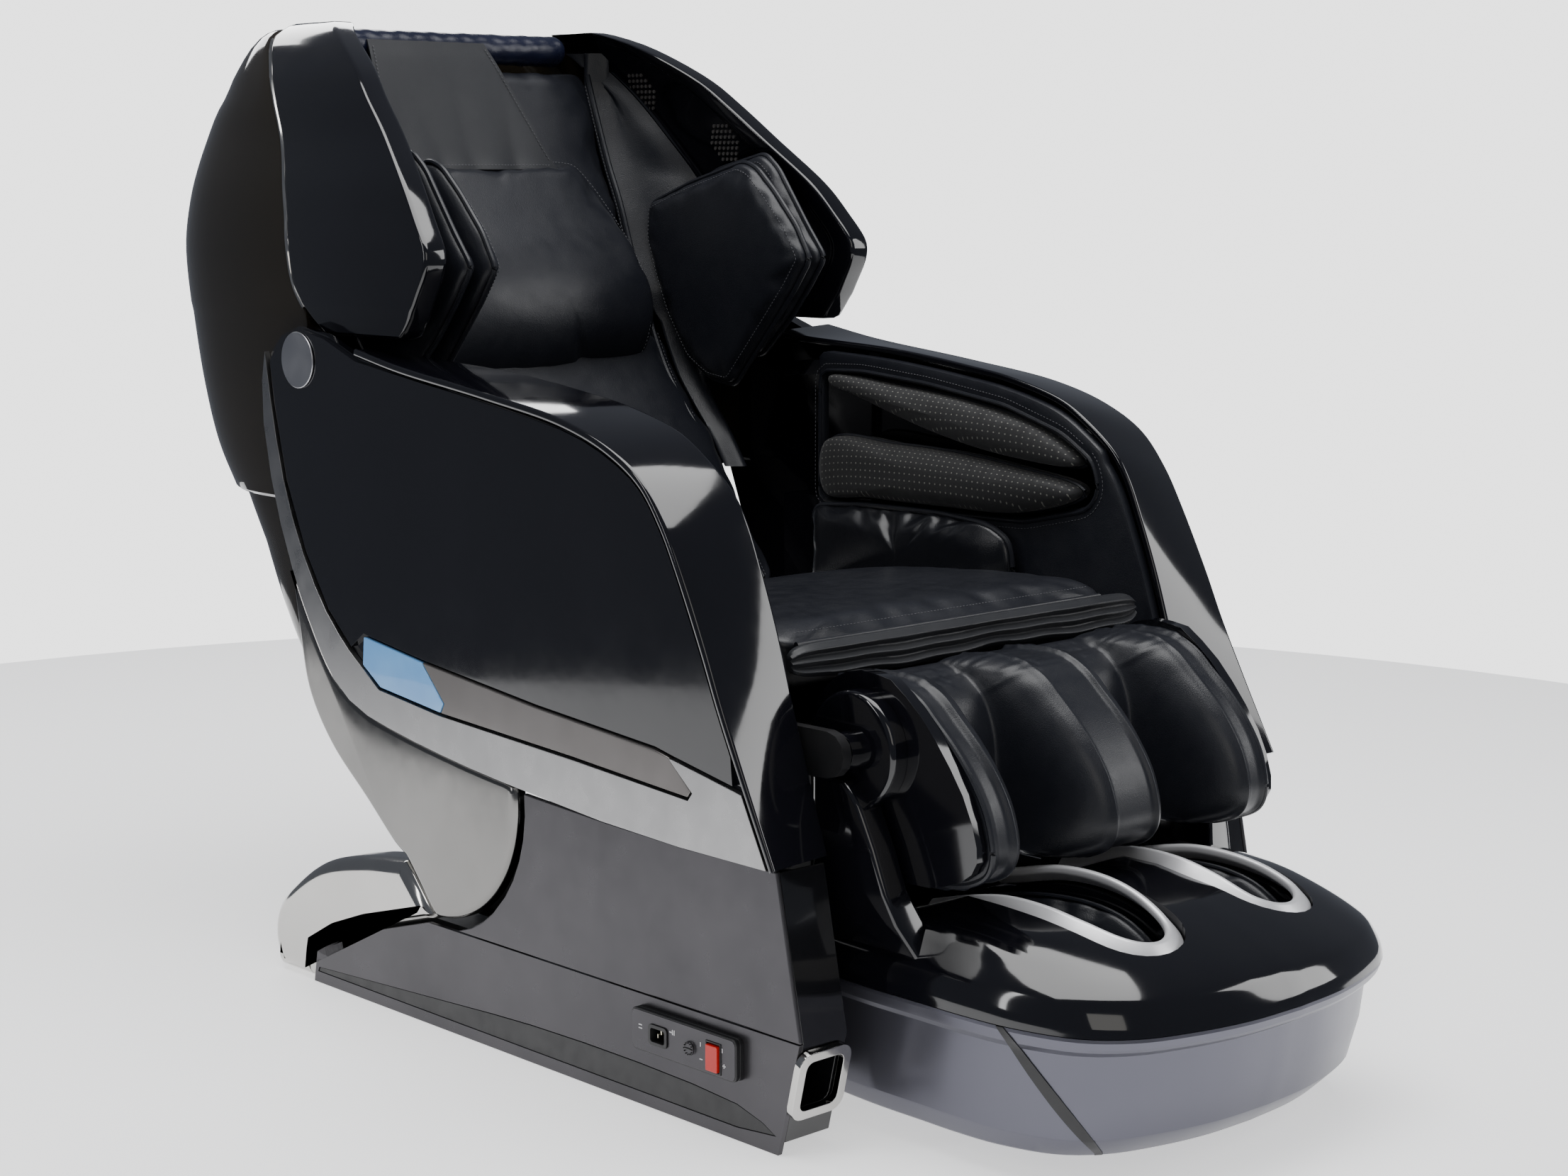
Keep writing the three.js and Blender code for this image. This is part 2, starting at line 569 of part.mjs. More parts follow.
const padFront = [
  [172, 486], [225, 560], [300, 676], [355, 740], [378, 770], [410, 830], [430, 880], [455, 940], [480, 1010],
  [505, 1065], [530, 1130], [548, 1180], [556, 1204],
];
const padCurve = smooth(padFront, 16);
const padBack = padCurve.map((_, i) => inward(padCurve, i, -46)).reverse();
const bolster = padCurve.filter(([, z]) => z < 845);
const bolsterBack = bolster.map((_, i) => inward(bolster, i, -40)).reverse();
add('back_pad', join(
  sidePlate([...padCurve, ...padBack], -236, 236),
  sidePad([...bolster, ...bolsterBack], -268, 268, 6),
), LEATHER, 0.38);

// Back frame: side arms from the recline axis up behind the pad.
const armOutline = [
  ...arc(BACK_PIVOT, 30, 180, 360, 8), [310, 500], [420, 580], [470, 631.5], [400, 631.5],
  [330, 590], [206, 450],
];
const oneSideOfBackFrame = join(
  sidePlate(armOutline, 270, 284 + 15),
  box(-1, 272, 405, 425, 608, 631.5),
);
const backFrame = cut(
  join(oneSideOfBackFrame, mirror(oneSideOfBackFrame)),
  pin(BACK_PIVOT, 13, -320, 320),
);
add('back_frame', backFrame, STEEL, 0.5, 0.6);

const headerProfile = arc([573, 1229], 22, 0, 348, 15);
add('header_bar', sidePlate(headerProfile, -204, 204), 0x161a2c, 0.3);

// Pillow and its flap, both hung against the back pad.
const PILLOW_LEAN = Math.atan2(132, 290);
const pillowOutline = smooth([
  [0, 296], [-155, 292], [-196, 235], [-213, 150], [-211, 80], [-190, 30], [-130, 4], [0, 0],
  [130, 4], [190, 30], [211, 80], [213, 150], [196, 235], [155, 292], [0, 296],
], 26).slice(1);
const pillow = new THREE.ExtrudeGeometry(shapeOf(pillowOutline), {
  depth: 18, bevelSize: 14, bevelThickness: 14, bevelOffset: -14, bevelSegments: 2,
});
pillow.rotateX(Math.PI / 2 - PILLOW_LEAN);
pillow.translate(0, 358.5, 782);
add('back_pillow', pillow, LEATHER, 0.38);

const FLAP_LEAN = Math.atan2(62, 160);
const flap = frontPlate([[-170, 0], [120, 0], [47, 165], [-151, 165]], -5, 0);
flap.rotateX(-FLAP_LEAN);
flap.translate(0, 486, 1062);
add('head_flap', flap, LEATHER, 0.45);

// ---------- calf rest ----------
const calfFront = [
  [-560, 511], [-600, 482], [-637, 442], [-670, 396], [-688, 350], [-686, 322], [-660, 302], [-620, 290],
];
const kneeArc = arc(LEG_PIVOT, CALF_TOP_RADIUS, 0, 100, 7);
const calfShellSide = [...kneeArc, ...smooth(calfFront, 12), [-470, 285], [-436, 320]];
const oneSideOfCalf = join(
  sidePlate(calfShellSide, 243, 258),
  box(-1, 244, -461, -436, 290, 470),
  pin(LEG_PIVOT, 22, 257, 298),
);
const calfBody = join(oneSideOfCalf, mirror(oneSideOfCalf));
add('calf_shell', cut(calfBody, pin(LEG_PIVOT, 10, -320, 320)), GLOSS_BLACK, 0.08);

const calfBlockSide = [
  ...arc(LEG_PIVOT, CALF_TOP_RADIUS - 2, 40, 100, 4), ...smooth(calfFront.map(([y, z]) => [y - 4, z]), 12),
  [-462, 290], [-462, 485],
];
const TROUGH = [[38, 198], [70, 166]];
const troughCut = loft([0, 1].map((end) => {
  const y = end ? -560 : -760;
  const [x0, x1] = TROUGH[end];
  return [[x0, 240], [x1, 240], [x1, 580], [x0, 580]].map(([x, z]) => new THREE.Vector3(x, y, z));
}));
add('calf_cushion', cut(
  sidePlate(calfBlockSide, -242.6, 242.6), troughCut, mirror(troughCut),
), LEATHER, 0.35);

// ---------- foot rest ----------
const quarterRim = [
  [286, -478], [291, -560], [291, -640], [291, -700], [285, -767], [260, -840], [217, -881], [152, -907],
  [80, -923], [0, -928],
];
const rimPoints = smooth(quarterRim, 11);
function footRing(z, sideInset, frontInset, rear = -478) {
  const half = rimPoints.map(([x, y]) => [
    (x * (FOOT_HALF_WIDTH - sideInset)) / FOOT_HALF_WIDTH,
    rear + ((y + 478) * (-FRONT_Y - 478 - frontInset - (-478 - rear))) / (-FRONT_Y - 478),
  ]);
  const other = half.slice(0, -1).map(([x, y]) => [-x, y]).reverse();
  return [...half, ...other].map(([x, y]) => new THREE.Vector3(x, y, z));
}
const wellOutline = [[67, -520], ...arc([115, -772], 48, 180, 360, 6), [163, -520]];
const well = planPlate(wellOutline, 78, 320);
const RING_PATH = [
  [178, -560, 240], [178, -640, 258], [178, -707, 257], [176, -757, 248], [163, -803, 235], [138, -824, 228],
  [115, -829, 226], [92, -824, 229], [67, -803, 238], [54, -757, 257], [52, -707, 270], [52, -640, 270],
  [52, -565, 252],
];
function ringSolid(width, below, above) {
  const curve = new THREE.CatmullRomCurve3(RING_PATH.map((p) => new THREE.Vector3(...p)));
  const steps = 26;
  return loft(Array.from({ length: steps + 1 }, (_, i) => {
    const p = curve.getPoint(i / steps);
    const t = curve.getTangent(i / steps);
    const side = new THREE.Vector3(t.y, -t.x, 0).normalize().multiplyScalar(width / 2);
    return [[-1, -below], [1, -below], [0.8, above], [-0.8, above]].map(([k, up]) => (
      new THREE.Vector3(p.x + side.x * k, p.y + side.y * k, p.z + up)));
  }));
}
const ring = ringSolid(15, 6, 5);
const ringSeat = ringSolid(16.4, 6.7, 60);
addPair('foot_ring', ring, 0xc9c9cd, 0.25, 0.9);

const shellBody = cut(loft([
  footRing(RIM_Z + GAP, 0, 0), footRing(192, 4, 9), footRing(208, 10, 20), footRing(218, 18, 34),
  footRing(227, 26, 52), footRing(240, 38, 84), footRing(252, 54, 118), footRing(262, 92, 150),
  footRing(270, 130, 195), footRing(277, 175, 240),
]), sidePlate([[-640, 277], [-470, 214], [-470, 300], [-640, 300]], -300, 300));
const stemLevels = [
  [RIM_Z + 2, 236, 262, -640], [215, 240, 280, -622], [250, 250, 294, -606], [284, 263, 300, -594],
  [330, 263, 300, -575], [375, 263, 300, -552], [400, 263, 300, -528],
];
const stem = loft(stemLevels.map(([z, x0, x1, front]) => (
  [[x0, -480], [x1, -480], [x1, front], [x0, front]].map(([x, y]) => new THREE.Vector3(x, y, z)))));
const footShell = join(shellBody, stem, mirror(stem));
add('foot_shell', cut(
  footShell, ringSeat, mirror(ringSeat), well, mirror(well),
), GLOSS_BLACK, 0.06);

const footSkirt = loft([
  footRing(28, 28, 66), footRing(52, 15, 42), footRing(100, 11, 27), footRing(148, 10, 20),
  footRing(156, 4, 8), footRing(RIM_Z, 1, 1),
]);
add('foot_skirt', cut(footSkirt, well, mirror(well)), BASE_GREY, 0.45, 0.3);
const padOutline = wellOutline.map(([x, y]) => [115 + (x - 115) * 0.98, -680 + (y + 680) * 0.99]);
addPair('foot_pad', planPlate(padOutline, 78 + GAP, 104), LEATHER, 0.5);

export default chair;
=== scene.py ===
"""Looks of the reclining massage chair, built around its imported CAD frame. Metres, +Z up."""
import math

import bmesh
import bpy
import numpy as np
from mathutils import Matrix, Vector


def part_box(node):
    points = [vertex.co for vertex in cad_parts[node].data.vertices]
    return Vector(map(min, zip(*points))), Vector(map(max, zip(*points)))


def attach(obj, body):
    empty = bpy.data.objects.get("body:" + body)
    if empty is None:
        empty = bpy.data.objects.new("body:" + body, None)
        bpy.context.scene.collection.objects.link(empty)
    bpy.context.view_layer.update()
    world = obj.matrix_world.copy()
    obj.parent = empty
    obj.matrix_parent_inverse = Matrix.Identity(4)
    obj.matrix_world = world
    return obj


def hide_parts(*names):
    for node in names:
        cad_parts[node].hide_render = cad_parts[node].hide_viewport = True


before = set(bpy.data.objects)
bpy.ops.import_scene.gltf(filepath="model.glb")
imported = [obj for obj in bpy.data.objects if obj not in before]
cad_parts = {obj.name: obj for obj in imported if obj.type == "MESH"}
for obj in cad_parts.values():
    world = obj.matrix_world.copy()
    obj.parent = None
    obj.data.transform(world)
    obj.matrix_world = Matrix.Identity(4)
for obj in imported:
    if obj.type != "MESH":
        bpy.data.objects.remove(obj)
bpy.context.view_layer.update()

SHELL_REAR = 803  # rearmost point of the back shell from the seat datum, mm
DATUM_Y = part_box("back_shell")[1].y - SHELL_REAR / 1000


def at(x, y, z):
    """A point in millimetres from the seat datum, as a point of the frame."""
    return Vector((x / 1000, y / 1000 + DATUM_Y, z / 1000))


# ---------- camera, floor and light ----------
FLOOR_RADIUS = 2.6


def aim(obj, direction):
    """Turns a camera or a light to look along a direction."""
    obj.rotation_euler = Vector(direction).to_track_quat("-Z", "Y").to_euler()


def make_camera():
    data = bpy.data.cameras.new("camera")
    data.lens = 62.5
    data.sensor_width = 36
    camera = bpy.data.objects.new("camera", data)
    bpy.context.scene.collection.objects.link(camera)
    camera.location = at(-2338, -2593, 1055)
    aim(camera, (0.6788, 0.7186, -0.1507))
    bpy.context.scene.camera = camera


def area_light(name, place, target, size, power, color=(1, 1, 1)):
    data = bpy.data.lights.new(name, "AREA")
    data.shape = "RECTANGLE"
    data.size, data.size_y = size
    data.energy = power
    data.color = color
    light = bpy.data.objects.new(name, data)
    bpy.context.scene.collection.objects.link(light)
    light.location = place
    aim(light, Vector(target) - Vector(place))


def make_studio():
    world = bpy.data.worlds.new("studio")
    bpy.context.scene.world = world
    world.use_nodes = True
    nodes, links = world.node_tree.nodes, world.node_tree.links
    output = nodes["World Output"]
    soft = nodes["Background"]
    soft.inputs["Color"].default_value = (0.8, 0.86, 1.0, 1)
    soft.inputs["Strength"].default_value = 0.16
    seen = nodes.new("ShaderNodeBackground")
    seen.inputs["Color"].default_value = (1, 1, 1, 1)
    seen.inputs["Strength"].default_value = 2.6
    path = nodes.new("ShaderNodeLightPath")
    mix = nodes.new("ShaderNodeMixShader")
    links.new(path.outputs["Is Camera Ray"], mix.inputs["Fac"])
    links.new(soft.outputs[0], mix.inputs[1])
    links.new(seen.outputs[0], mix.inputs[2])
    links.new(mix.outputs[0], output.inputs["Surface"])

    bpy.ops.mesh.primitive_circle_add(
        vertices=96, radius=FLOOR_RADIUS, fill_type="NGON", location=(0.1, 0.3, -0.0005))
    floor = bpy.context.object
    floor.name = "studio_floor"
    paint = simple_material(
        "floor_paint", (0.9, 0.9, 0.91), 0.6, Emission_Color=(1, 1, 1, 1), Emission_Strength=0.85)
    floor.data.materials.append(paint)

    area_light("overhead", (-0.2, -0.3, 3.4), (0, 0, 0.5), (3.2, 2.2), 125)
    area_light("front_left", (-2.6, -3.8, 2.4), (0, -0.2, 0.5), (2.4, 2.6), 30, (1, 0.97, 0.9))
    area_light("front_right", (3.1, -2.8, 2.2), (0, 0, 0.6), (1.4, 2.6), 56)
    area_light("left_strip", (-3.6, 0.9, 2.3), (0, 0.2, 0.6), (0.3, 2.6), 24)
    area_light("rear", (0.8, 3.2, 2.6), (0, 0.3, 0.9), (2.4, 0.8), 44)


# ---------- materials ----------
def simple_material(name, color, roughness, metallic=0.0, **sockets):
    material = bpy.data.materials.new(name)
    material.use_nodes = True
    shader = material.node_tree.nodes["Principled BSDF"]
    shader.inputs["Base Color"].default_value = (*color, 1)
    shader.inputs["Roughness"].default_value = roughness
    shader.inputs["Metallic"].default_value = metallic
    for socket, value in sockets.items():
        shader.inputs[socket.replace("_", " ")].default_value = value
    return material


class Surface:
    """Adds procedural detail to a material, all of it placed in the object's own space."""

    def __init__(self, material):
        self.tree = material.node_tree
        self.shader = self.tree.nodes["Principled BSDF"]
        self.place = self.tree.nodes.new("ShaderNodeTexCoord").outputs["Object"]
        self.normal = None

    def node(self, kind, inputs=None, **settings):
        node = self.tree.nodes.new(kind)
        for key, value in settings.items():
            setattr(node, key, value)
        for key, value in (inputs or {}).items():
            if isinstance(value, bpy.types.NodeSocket):
                self.tree.links.new(value, node.inputs[key])
            else:
                node.inputs[key].default_value = value
        return node

    def noise(self, scale, detail=3.0, stretch=(1, 1, 1)):
        place = self.node("ShaderNodeMapping", {"Vector": self.place, "Scale": stretch}).outputs[0]
        inputs = {"Vector": place, "Scale": scale, "Detail": detail}
        return self.node("ShaderNodeTexNoise", inputs).outputs["Fac"]

    def cells(self, scale):
        return self.node("ShaderNodeTexVoronoi", {"Vector": self.place, "Scale": scale}).outputs["Distance"]

    def calculate(self, operation, *values):
        return self.node("ShaderNodeMath", dict(enumerate(values)), operation=operation).outputs[0]

    def mix(self, factor, first, second):
        """A colour between first and second, each of them a socket or red, green and blue."""
        node = self.node("ShaderNodeMix", {"Factor": factor}, data_type="RGBA")
        for socket, value in zip([s for s in node.inputs if s.type == "RGBA"], (first, second)):
            if isinstance(value, bpy.types.NodeSocket):
                self.tree.links.new(value, socket)
            else:
                socket.default_value = (*value, 1)
        return [s for s in node.outputs if s.type == "RGBA"][0]

    def paint(self, color):
        self.tree.links.new(color, self.shader.inputs["Base Color"])

    def spread(self, value, low, high, start=0.3, end=0.7):
        return self.node("ShaderNodeMapRange", {
            "Value": value, "From Min": start, "From Max": end, "To Min": low, "To Max": high,
        }).outputs["Result"]

    def roughness(self, value, low, high):
        self.tree.links.new(self.spread(value, low, high), self.shader.inputs["Roughness"])

    def color(self, value, first, second):
        self.paint(self.mix(self.spread(value, 0, 1), first, second))

    def bump(self, value, distance, strength=0.5):
        inputs = {"Height": value, "Distance": distance, "Strength": strength}
        if self.normal:
            inputs["Normal"] = self.normal
        self.normal = self.node("ShaderNodeBump", inputs).outputs["Normal"]
        self.tree.links.new(self.normal, self.shader.inputs["Normal"])


def gloss_plastic(name, color, second, low=0.06, high=0.11):
    material = simple_material(name, color, 0.08, Coat_Weight=0.4, Coat_Roughness=0.05)
    surface = Surface(material)
    surface.color(surface.noise(3.5), color, second)
    surface.roughness(surface.noise(18, 5), low, high)
    surface.bump(surface.noise(55, 1), 0.00025, 0.12)
    return material


def leather(name, color, second, low=0.3, high=0.42, grain=780):
    material = simple_material(
        name, color, 0.36, Coat_Weight=0.1, Coat_Roughness=0.3, Specular_IOR_Level=0.36)
    surface = Surface(material)
    surface.color(surface.noise(9, 4), color, second)
    surface.roughness(surface.noise(40, 4), low, high)
    surface.bump(surface.noise(16, 3), 0.0022, 0.35)
    surface.bump(surface.cells(grain), 0.0004, 0.35)
    surface.bump(surface.noise(2200, 2), 0.0001, 0.3)
    return material


HOLE_PITCH = 0.0095  # from one hole of the fabric to the next


def perforated_fabric(name, color, second, dot):
    """Dark woven fabric with a regular grid of small pale holes."""
    material = simple_material(name, color, 0.8, Sheen_Weight=0.1, Sheen_Roughness=0.5)
    surface = Surface(material)
    split = surface.node("ShaderNodeSeparateXYZ", {"Vector": surface.place}).outputs
    across = surface.calculate("ADD", split["X"], split["Z"])
    square = []
    for value, shift in ((split["Y"], 0.0), (across, 0.25)):
        cell = surface.calculate("FRACT", surface.calculate("MULTIPLY_ADD", value, 1 / HOLE_PITCH, shift))
        offset = surface.calculate("SUBTRACT", cell, 0.5)
        square.append(surface.calculate("MULTIPLY", offset, offset))
    factor = surface.spread(surface.calculate("ADD", *square), 1, 0, 0.008, 0.022)
    weave = surface.mix(surface.spread(surface.noise(420, 2), 0, 1), color, second)
    surface.paint(surface.mix(factor, weave, dot))
    surface.roughness(surface.noise(60, 3), 0.68, 0.85)
    surface.bump(surface.noise(1500, 2, (1, 0.4, 1)), 0.0003, 0.5)
    surface.bump(factor, -0.0006, 0.5)
    return material


def metal(name, color, second, low, high, flake=0.1, metallic=1.0, stretch=(1, 1, 1)):
    material = simple_material(name, color, (low + high) / 2, metallic)
    surface = Surface(material)
    surface.color(surface.noise(6, 3), color, second)
    surface.roughness(surface.noise(30, 4, stretch), low, high)
    surface.bump(surface.noise(1400, 2, stretch), 0.00006, flake)
    return material


def moulded_plastic(name, color, second, low, high):
    material = simple_material(name, color, (low + high) / 2)
    surface = Surface(material)
    surface.color(surface.noise(12, 3), color, second)
    surface.roughness(surface.noise(45, 4), low, high)
    surface.bump(surface.cells(1500), 0.00008, 0.3)
    return material


def lens_plastic():
    material = simple_material("blue_lens", (0.13, 0.36, 0.72), 0.16, Coat_Weight=0.5)
    surface = Surface(material)
    surface.color(surface.noise(14, 2), (0.12, 0.34, 0.7), (0.17, 0.42, 0.78))
    surface.roughness(surface.noise(50, 3), 0.12, 0.22)
    surface.bump(surface.noise(90, 1), 0.0002, 0.1)
    return material


M = {
    "lens": lens_plastic(),
    "gloss_black": gloss_plastic("piano_black", (0.0025, 0.0026, 0.0042), (0.004, 0.004, 0.006)),
    "shell_black": gloss_plastic("smoked_brown_black", (0.011, 0.009, 0.006), (0.015, 0.012, 0.008)),
    "housing_black": gloss_plastic("housing_black", (0.004, 0.004, 0.005), (0.006, 0.006, 0.007), 0.08, 0.15),
    "leather": leather("black_leather", (0.0085, 0.0095, 0.0135), (0.0125, 0.0135, 0.018)),
    "soft_leather": leather("matt_black_leather", (0.011, 0.012, 0.015), (0.016, 0.017, 0.02), 0.42, 0.55),
    "shiny_leather": leather("shiny_black_leather", (0.007, 0.0075, 0.01), (0.01, 0.0105, 0.013), 0.18, 0.27),
    "navy_leather": leather("navy_leather", (0.006, 0.008, 0.021), (0.009, 0.011, 0.028), 0.2, 0.3),
    "thread": moulded_plastic("seam_thread", (0.06, 0.062, 0.07), (0.09, 0.09, 0.1), 0.5, 0.7),
    "fabric": perforated_fabric(
        "perforated_fabric", (0.007, 0.007, 0.008), (0.012, 0.012, 0.013), (0.17, 0.17, 0.15)),
    "satin_silver": metal("satin_silver", (0.46, 0.46, 0.48), (0.52, 0.52, 0.54), 0.27, 0.36),
    "polished": metal("polished_silver", (0.5, 0.49, 0.47), (0.55, 0.54, 0.52), 0.08, 0.14, 0.03),
    # The fins' polished silver with a darker colour painted in: a painted dark reflection standing in for
    # what their chrome mirrors.
    "fin_silver_painted_dark": metal("fin_silver_painted_dark", (0.2, 0.197, 0.19), (0.235, 0.23, 0.222), 0.12, 0.2, 0.03),
    "trim_silver": metal("trim_silver", (0.31, 0.308, 0.31), (0.35, 0.348, 0.35), 0.25, 0.33),
    "trim_grey": metal("trim_grey", (0.15, 0.14, 0.135), (0.18, 0.17, 0.165), 0.3, 0.4, 0.1, 0.7),
    "base_grey": metal("base_grey", (0.06, 0.058, 0.063), (0.074, 0.071, 0.077), 0.26, 0.36, 0.12, 0.75),
    "foot_grey": metal("foot_grey", (0.112, 0.112, 0.138), (0.118, 0.118, 0.144), 0.28, 0.31, 0.12, 0.7),
    "steel": metal("frame_steel", (0.02, 0.02, 0.022), (0.035, 0.034, 0.034), 0.4, 0.55, 0.3, 0.6),
    "matte_black": moulded_plastic("matte_black", (0.008, 0.008, 0.009), (0.012, 0.012, 0.013), 0.35, 0.5),
    "red": moulded_plastic("rocker_red", (0.5, 0.009, 0.005), (0.58, 0.014, 0.008), 0.15, 0.25),
    "white_print": moulded_plastic("white_print", (0.6, 0.6, 0.62), (0.7, 0.7, 0.7), 0.5, 0.6),
    "foot_ring": metal("foot_ring_silver", (0.72, 0.72, 0.74), (0.78, 0.78, 0.8), 0.28, 0.38, 0.1, 0.4),
    "contact": metal("plug_contacts", (0.6, 0.56, 0.45), (0.66, 0.6, 0.5), 0.2, 0.3),
}


# ---------- curves ----------
def spline(points, count, closed=False):
    """count evenly spaced points on a smooth curve through the given points."""
    given = [np.array(p, float) for p in points]
    n = len(given)
    fine = []
    for i in range(n if closed else n - 1):
        p0 = given[(i - 1) % n] if closed or i > 0 else 2 * given[0] - given[1]
        p1 = given[i]
        p2 = given[(i + 1) % n]
        p3 = given[(i + 2) % n] if closed or i + 2 < n else 2 * given[-1] - given[-2]
        t0, t1, t2, t3 = np.cumsum([0] + [
            max(np.linalg.norm(b - a), 1e-6) ** 0.5 for a, b in ((p0, p1), (p1, p2), (p2, p3))])
        for t in np.linspace(t1, t2, 16, endpoint=False):
            a1 = (t1 - t) / (t1 - t0) * p0 + (t - t0) / (t1 - t0) * p1
            a2 = (t2 - t) / (t2 - t1) * p1 + (t - t1) / (t2 - t1) * p2
            a3 = (t3 - t) / (t3 - t2) * p2 + (t - t2) / (t3 - t2) * p3
            b1 = (t2 - t) / (t2 - t0) * a1 + (t - t0) / (t2 - t0) * a2
            b2 = (t3 - t) / (t3 - t1) * a2 + (t - t1) / (t3 - t1) * a3
            fine.append((t2 - t) / (t2 - t1) * b1 + (t - t1) / (t2 - t1) * b2)
    fine.append(given[0] if closed else given[-1])
    return resample(fine, count, closed)


def resample(points, count, closed=False):
    """Evenly spaced points on a polyline. A closed one repeats its first point at the end of points."""
    points = np.array(points, float)
    walked = np.concatenate([[0], np.cumsum(np.linalg.norm(np.diff(points, axis=0), axis=1))])
    wanted = np.linspace(0, walked[-1], count, endpoint=not closed)
    return np.stack([np.interp(wanted, walked, points[:, k]) for k in range(points.shape[1])], axis=1)


def profile(pairs, count=120):
    """A smooth function through (key, value) pairs."""
    curve = spline(pairs, count)
    return lambda key: float(np.interp(key, curve[:, 0], curve[:, 1]))


def arc(center, radius, start, end, steps):
    """Points round a centre, from one angle to another in degrees."""
    angles = np.radians(np.linspace(start, end, steps + 1))
    return [(center[0] + radius * math.cos(a), center[1] + radius * math.sin(a)) for a in angles]


def signed_area(points):
    x, y = points[:, 0], points[:, 1]
    return 0.5 * float(np.sum(x * np.roll(y, -1) - np.roll(x, -1) * y))


def inset(points, depth):
    """A closed 2D outline moved inwards by depth, with its corners kept."""
    points = np.array(points, float)
    sign = 1 if signed_area(points) > 0 else -1
    before = points - np.roll(points, 1, axis=0)
    after = np.roll(points, -1, axis=0) - points
    before /= np.maximum(np.linalg.norm(before, axis=1, keepdims=True), 1e-9)
    after /= np.maximum(np.linalg.norm(after, axis=1, keepdims=True), 1e-9)
    first = np.stack([-before[:, 1], before[:, 0]], axis=1) * sign
    second = np.stack([-after[:, 1], after[:, 0]], axis=1) * sign
    middle = first + second
    middle /= np.maximum(np.linalg.norm(middle, axis=1, keepdims=True), 1e-9)
    stretch = 1 / np.maximum(np.sum(middle * first, axis=1), 0.5)
    return points + middle * (depth * stretch)[:, None]


def round_corners(points, radius, steps=5):
    """A closed polygon with every corner turned into an arc, as many points for each corner."""
    points = np.array(points, float)
    result = []
    for i, p in enumerate(points):
        a, b = points[i - 1], points[(i + 1) % len(points)]
        reach = min(radius, 0.45 * np.linalg.norm(a - p), 0.45 * np.linalg.norm(b - p))
        start = p + (a - p) / np.linalg.norm(a - p) * reach
        end = p + (b - p) / np.linalg.norm(b - p) * reach
        for t in np.linspace(0, 1, steps + 1):
            result.append((1 - t) ** 2 * start + 2 * t * (1 - t) * p + t * t * end)
    return np.array(result)


# ---------- meshes ----------
def make(name, vertices, faces, body, slot, material, sharp=35, replaces=()):
    mesh = bpy.data.meshes.new(name)
    mesh.from_pydata([tuple(v) for v in vertices], [], [tuple(f) for f in faces])
    mesh.validate()
    obj = bpy.data.objects.new(name, mesh)
    bpy.context.scene.collection.objects.link(obj)
    obj.data.materials.append(material)
    face_out(obj)
    mesh.shade_smooth()
    if sharp:
        mesh.set_sharp_from_angle(angle=math.radians(sharp))
    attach(obj, body)
    if replaces:
        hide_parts(*replaces)
    return obj


def face_out(obj):
    shape = bmesh.new()
    shape.from_mesh(obj.data)
    bmesh.ops.remove_doubles(shape, verts=shape.verts, dist=1e-6)
    bmesh.ops.recalc_face_normals(shape, faces=shape.faces)
    shape.to_mesh(obj.data)
    shape.free()


def loft_data(rings, caps=True):
    """Vertices and faces of a skin over rings of points with equal counts."""
    count = len(rings[0])
    vertices = [p for ring in rings for p in ring]
    faces = []
    for r in range(len(rings) - 1):
        for i in range(count):
            a, b = r * count + i, r * count + (i + 1) % count
            faces.append((a, b, b + count, a + count))
    if caps:
        faces.append(tuple(range(count)))
        faces.append(tuple((len(rings) - 1) * count + i for i in range(count)))
    return vertices, faces


def join_data(*parts):
    vertices, faces = [], []
    for part_vertices, part_faces in parts:
        start = len(vertices)
        vertices.extend(part_vertices)
        faces.extend(tuple(start + i for i in face) for face in part_faces)
    return vertices, faces


def mirrored(data):
    vertices, faces = data
    return [Vector((-v[0], v[1], v[2])) for v in vertices], [tuple(reversed(f)) for f in faces]


def both_sides(name, data, *args, replaces=None, **settings):
    """The piece at +X, named _left, and its mirror image, named _right."""
    made = []
    for side, part in (("left", data), ("right", mirrored(data))):
        nodes = [f"{node}_{side}" for node in replaces or ()]
        made.append(make(f"{name}_{side}", *part, *args, replaces=nodes, **settings))
    return made


def slab_data(outline, x0, x1, radius, steps=4, crown=0.0):
    """A (y, z) outline made solid from x0 to x1. Its outer edge is rounded, and crown bulges that face."""
    outline = np.array(outline, float)
    rings = [[at(x0, y, z) for y, z in outline]]
    for a in np.radians(np.linspace(0, 90, steps + 1)):
        curve = inset(outline, radius * (1 - math.cos(a)))
        rings.append([at(x1 - radius * (1 - math.sin(a)), y, z) for y, z in curve])
    if crown:
        inner = inset(outline, radius)
        center = inner.mean(axis=0)
        for s in (0.9, 0.75, 0.55, 0.3, 0.08):
            curve = center + (inner - center) * s
            rings.append([at(x1 + crown * (1 - s * s), y, z) for y, z in curve])
    return loft_data(rings)


def circle(count):
    """Angles evenly spaced round a full turn."""
    return np.linspace(0, 2 * math.pi, count, endpoint=False)


def round_ring(center, side, over, radius, count):
    """Points on a circle round center, in the plane of the directions side and over."""
    return [center + side * (radius * math.cos(a)) + over * (radius * math.sin(a)) for a in circle(count)]


def tube_data(path, radius, sides=8, closed=False):
    """A tube along a path of frame points."""
    path = [Vector(p) for p in path]
    rings = []
    for i, p in enumerate(path):
        before = path[i - 1] if i or closed else path[0]
        after = path[(i + 1) % len(path)] if closed or i + 1 < len(path) else path[-1]
        along = (after - before).normalized()
        side = along.cross(Vector((0, 0, 1)))
        if side.length < 1e-3:
            side = along.cross(Vector((1, 0, 0)))
        side.normalize()
        over = side.cross(along).normalized()
        rings.append(round_ring(p, side, over, radius, sides))
    if closed:
        rings.append(rings[0])
    return loft_data(rings, caps=not closed)


